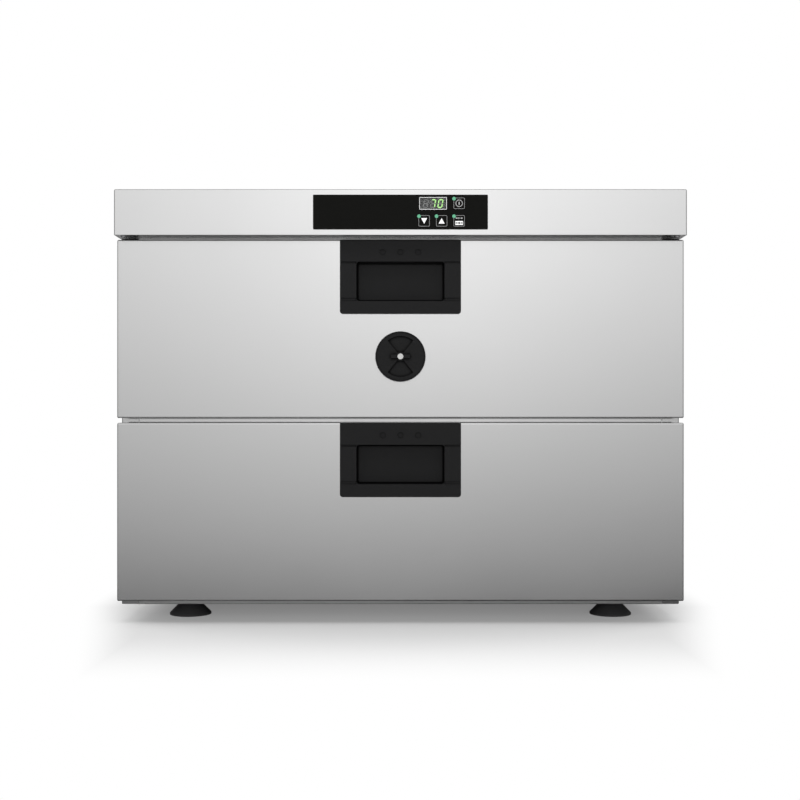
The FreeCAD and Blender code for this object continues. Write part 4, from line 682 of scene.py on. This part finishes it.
def triangle_symbol(up):
    """A triangle that points up where up is 1, and down where it is -1."""
    half_wide, half_tall = TRIANGLE_HALF

    def build(shape, centre, face):
        add_print(shape, [
            (centre[0] - half_wide, centre[1] - up * half_tall),
            (centre[0] + half_wide, centre[1] - up * half_tall),
            (centre[0], centre[1] + up * half_tall),
        ], face)
    return build


def play_symbol(shape, centre, face):
    """A small play mark between two dashes, over the stop box."""
    middle = (centre[0], centre[1] + PLAY_UP)
    half_wide, half_tall = PLAY_HALF
    add_print(shape, [
        (middle[0] - half_wide, middle[1] - half_tall),
        (middle[0] + half_wide, middle[1]),
        (middle[0] - half_wide, middle[1] + half_tall),
    ], face)
    add_dashes(shape, middle, face)


def stop_box(shape, centre, face):
    middle = (centre[0], centre[1] + STOP_UP)
    add_print(shape, rounded_rectangle(middle, BOX_HALF, BOX_RADIUS), face)


def stop_symbol(shape, centre, face):
    """A small stop square between two dashes, printed on the box."""
    middle = (centre[0], centre[1] + STOP_UP)
    add_print(shape, rounded_rectangle(middle, STOP_HALF, STOP_RADIUS), face, layer=2)
    add_dashes(shape, middle, face, layer=2)


# Each key's prints: their names, inks and shapes.
KEY_PRINTS = {
    "power": {"symbol": ("mark", power_symbol)},
    "down": {"symbol": ("white", triangle_symbol(-1))},
    "up": {"symbol": ("white", triangle_symbol(1))},
    "start": {
        "symbol": ("mark", play_symbol),
        "box": ("white", stop_box),
        "stop": ("black", stop_symbol),
    },
}


def key_face(name):
    """The middle of a key's face, half the side of what shows of it, and its depth."""
    low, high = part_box(f"key_{name}")
    return ((low.x + high.x) / 2, (low.z + high.z) / 2), (high.x - low.x) / 2 - KEY_LIP, low.y


def make_key_prints():
    inks = {
        "outline": printed("line_ink", 0.22),
        "mark": printed("mark_ink", 0.34),
        "white": printed("symbol_ink", 0.85),
        "black": printed("black_ink", 0.04),
    }
    for name, prints in KEY_PRINTS.items():
        centre, half_side, face = key_face(name)

        def outline(shape):
            outer, inner = (
                open_square(centre, half_side - KEY_LINE_INSET, radius, inset)
                for inset, radius in zip((0, KEY_LINE), KEY_LINE_RADII)
            )
            add_band(shape, outer, inner, face - INK, face, is_loop=False)
        mesh_piece(f"key_{name}_outline", outline, inks["outline"], f"key_{name}")
        for label, (ink, symbol) in prints.items():
            def print_symbol(shape):
                symbol(shape, centre, face)
            mesh_piece(f"key_{name}_{label}", print_symbol, inks[ink], f"key_{name}")


# ---------------------------------------------------------------- studio
WORLD_LIGHT = 0.45

FLOOR_REACH = 12.0
# The floor as light finds it, and as the camera sees it: its own glow, and the share of light that
# it gives back.
FLOOR_COLOUR = 0.9
FLOOR_GLOW = 0.2
FLOOR_SHARE = 0.48
# It turns plain white between these distances from the hood's outline, along X and along Y.
SIDE_FADE = (0.0, 0.07)
END_FADE = (0.02, 0.27)
# The grey part narrows along Y by this share of the way, which starts this far past the hood's
# ends; a minus sign is short of them.
SIDE_TAPER = 0.24
TAPER_START = -0.134

# Grey flags surround the set at this distance, turned a little about Z.
FLAG_DISTANCE = 9.0
FLAG_TURN = math.radians(1.3)
# Their brightness, against the sine of the height over the horizon.
FLAG_HEIGHTS = (
    (0.0, 0.54), (0.05, 0.683), (0.13, 0.872), (0.22, 1.039), (0.8, 1.045), (0.96, 0.4),
)
# It is multiplied by a gain, less a drop times a power of the heading's X.
FLAG_GAIN = 1.3
FLAG_DROP = 1.09
FLAG_POWER = 0.8
# Darker flags stand to the left and right: the X where they begin and are full, and the share
# that they leave.
DARK_FLAG = (0.6, 0.85)
DARK_SHARE = 0.5
# Behind the object it is even: the heading's Y where that begins and ends, and the gain's share.
REAR_TURN = (-0.25, 0.25)
REAR_SHARE = 0.55

# The ground that glossy rays see lies this far over the floor. Its brightness 1 m from the middle,
# the growth with the distance's logarithm, and the least brightness.
GROUND_HEIGHT = 0.4 * MM
GROUND_LEVEL = 0.352
GROUND_GROWTH = 0.146
GROUND_LEAST = 0.11
# Its drop to the sides, and its turn about Z.
GROUND_DROP = 0.51
GROUND_POWER = 0.9
GROUND_TURN = math.radians(-5.4)
# Under the object a painted shadow darkens it: the distances from the hood's outline where that
# ends, and the share that the shadow leaves.
UNDER_FADE = (-0.02, 0.06)
UNDER_SHARE = 0.25

# Each softbox: place, aim, width, height and power.
LAMPS = {
    "key": ((0, -1.25, 2.1), (0, -0.2, 0.25), 1.6, 0.8, 15),
    "front_fill": ((0, -3.2, 0.9), (0, -0.2, 0.25), 1.8, 1.2, 46),
    "rear_fill": ((0, 3.2, 0.9), (0, 0.2, 0.25), 1.8, 1.2, 60),
    "left_fill": ((-1.6, 0.1, 0.9), (0, 0.1, 0.1), 1.2, 1.2, 17),
    "right_fill": ((1.6, 0.1, 0.9), (0, 0.1, 0.1), 1.2, 1.2, 17),
}


def sees_background(tree):
    """1 for camera, glossy and transmission rays, and 0 for the rest."""
    path = tree.add("LightPath").outputs
    direct = tree.math("MAXIMUM", path["Is Camera Ray"], path["Is Glossy Ray"])
    return tree.math("MAXIMUM", direct, path["Is Transmission Ray"])


def make_world():
    """Even light; the camera, glossy and transmission rays see plain white."""
    world = bpy.data.worlds.new("studio")
    scene.world = world
    world.use_nodes = True
    tree = Nodes(world.node_tree)
    light = tree.add("Background", {"Color": WHITE, "Strength": WORLD_LIGHT}).outputs[0]
    white = tree.add("Background", {"Color": WHITE, "Strength": 1.0}).outputs[0]
    tree.add("OutputWorld", {"Surface": tree.blend(sees_background(tree), light, white)})


def stage_mesh(name, build, material):
    piece = new_object(name, build, material)
    return piece


def outside(tree, place):
    """How far a place on the floor lies outside the hood's outline, along X and along Y."""
    parts = tree.parts(place)
    middle = (hood_low + hood_high) / 2
    half = (hood_high - hood_low) / 2
    beyond = []
    for axis, centre, reach in (("X", middle.x, half.x), ("Y", middle.y, half.y)):
        away = tree.math("ABSOLUTE", tree.math("SUBTRACT", parts[axis], centre))
        beyond.append(tree.math("SUBTRACT", away, reach))
    return beyond


def make_floor():
    """A white floor that keeps the object's shadow and turns plain white further out."""
    material, tree = new_material("floor")
    soft = tree.matt(FLOOR_COLOUR)
    shaded = tree.add("AddShader", {0: tree.glow(FLOOR_GLOW), 1: tree.matt(FLOOR_SHARE)}).outputs[0]
    beyond_x, beyond_y = outside(tree, tree.place())
    way = tree.math("MAXIMUM", tree.math("SUBTRACT", beyond_y, TAPER_START), 0.0)
    beyond_side = tree.math("ADD", beyond_x, tree.math("MULTIPLY", way, SIDE_TAPER))
    fade = tree.math("MAXIMUM", tree.ease(beyond_side, SIDE_FADE), tree.ease(beyond_y, END_FADE))
    shown = tree.blend(fade, shaded, tree.glow(1.0))
    tree.surface(tree.blend(sees_background(tree), soft, shown))

    def build(shape):
        bmesh.ops.create_grid(shape, x_segments=1, y_segments=1, size=FLOOR_REACH)
    stage_mesh("floor", build, material)


def side_factor(tree, place, gain, drop, power):
    """A brightness that falls to the left and right, more at the darker flags; even behind."""
    flat = tree.add("VectorMath", {0: place, 1: (1, 1, 0)}, operation="MULTIPLY").outputs[0]
    heading = tree.parts(tree.add("VectorMath", {0: flat}, operation="NORMALIZE").outputs[0])
    side = tree.math("ABSOLUTE", heading["X"])
    fall = tree.math("MULTIPLY", tree.math("POWER", side, power), drop)
    gentle = tree.math("SUBTRACT", gain, fall)
    ahead = tree.math("MULTIPLY", gentle, tree.ease(side, DARK_FLAG, 1.0, DARK_SHARE))
    return tree.mix("FLOAT", tree.ease(heading["Y"], REAR_TURN), ahead, gain * REAR_SHARE)


def surroundings(tree, place):
    """Brightness of the dome: dim at the horizon, brighter above it, and dark overhead."""
    heading = tree.add("VectorMath", {0: place}, operation="NORMALIZE").outputs[0]
    ramp = tree.add("ValToRGB", {"Fac": tree.parts(heading)["Z"]})
    stops = ramp.color_ramp.elements
    while len(stops) < len(FLAG_HEIGHTS):
        stops.new(1.0)
    for stop, (at, level) in zip(stops, FLAG_HEIGHTS):
        stop.position = at
        stop.color = (*grey(level), 1)
    sides = side_factor(tree, place, FLAG_GAIN, FLAG_DROP, FLAG_POWER)
    return tree.math("MULTIPLY", ramp.outputs["Color"], sides)


def reflected_ground(tree, place):
    """The floor as metal shows it: dark near, bright far out, with a painted shadow under the
    object.
    """
    distance = tree.add("VectorMath", {0: place}, operation="LENGTH").outputs["Value"]
    growth = tree.math("MULTIPLY", tree.math("LOGARITHM", distance, math.e), GROUND_GROWTH)
    level = tree.math("MAXIMUM", tree.math("ADD", growth, GROUND_LEVEL), GROUND_LEAST)
    sides = side_factor(tree, place, 1.0, GROUND_DROP, GROUND_POWER)
    beyond = tree.math("MAXIMUM", *outside(tree, place))
    painted_shadow = tree.ease(beyond, UNDER_FADE, UNDER_SHARE, 1.0)
    return tree.math("MULTIPLY", tree.math("MULTIPLY", level, sides), painted_shadow)


def glossy_only(piece):
    piece.visible_camera = False
    piece.visible_diffuse = False
    piece.visible_transmission = False
    piece.visible_shadow = False
    piece.visible_volume_scatter = False


def make_flags():
    """Grey flags round the set, for glossy rays alone, so that metal is lit by a graded studio."""
    def dome(shape):
        bmesh.ops.create_uvsphere(shape, u_segments=64, v_segments=32, radius=FLAG_DISTANCE)

    def disc(shape):
        bmesh.ops.create_circle(shape, cap_ends=True, segments=96, radius=FLAG_DISTANCE)

    for name, build, brightness, height, turn in (
        ("surrounding_flags", dome, surroundings, 0.0, FLAG_TURN),
        ("ground_flag", disc, reflected_ground, GROUND_HEIGHT, GROUND_TURN),
    ):
        material, tree = new_material(name)
        tree.surface(tree.glow(brightness(tree, tree.place())))
        flag = stage_mesh(name, build, material)
        flag.location.z = height
        flag.rotation_euler.z = turn
        glossy_only(flag)


def make_lamps():
    """Softboxes for diffuse light; the flags stand for them in reflections."""
    for name, (location, target, wide, tall, power) in LAMPS.items():
        data = bpy.data.lights.new(name, "AREA")
        data.shape = "RECTANGLE"
        data.size = wide
        data.size_y = tall
        data.energy = power
        lamp = bpy.data.objects.new(name, data)
        lamp.location = location
        aim = Vector(target) - Vector(location)
        lamp.rotation_euler = aim.to_track_quat("-Z", "Y").to_euler()
        lamp.visible_glossy = False
        scene.collection.objects.link(lamp)


make_camera()
dress_cad_nodes()
make_digits()
make_display_frame(printed("frame_ink", 0.6))
make_key_prints()
make_world()
make_floor()
make_flags()
make_lamps()
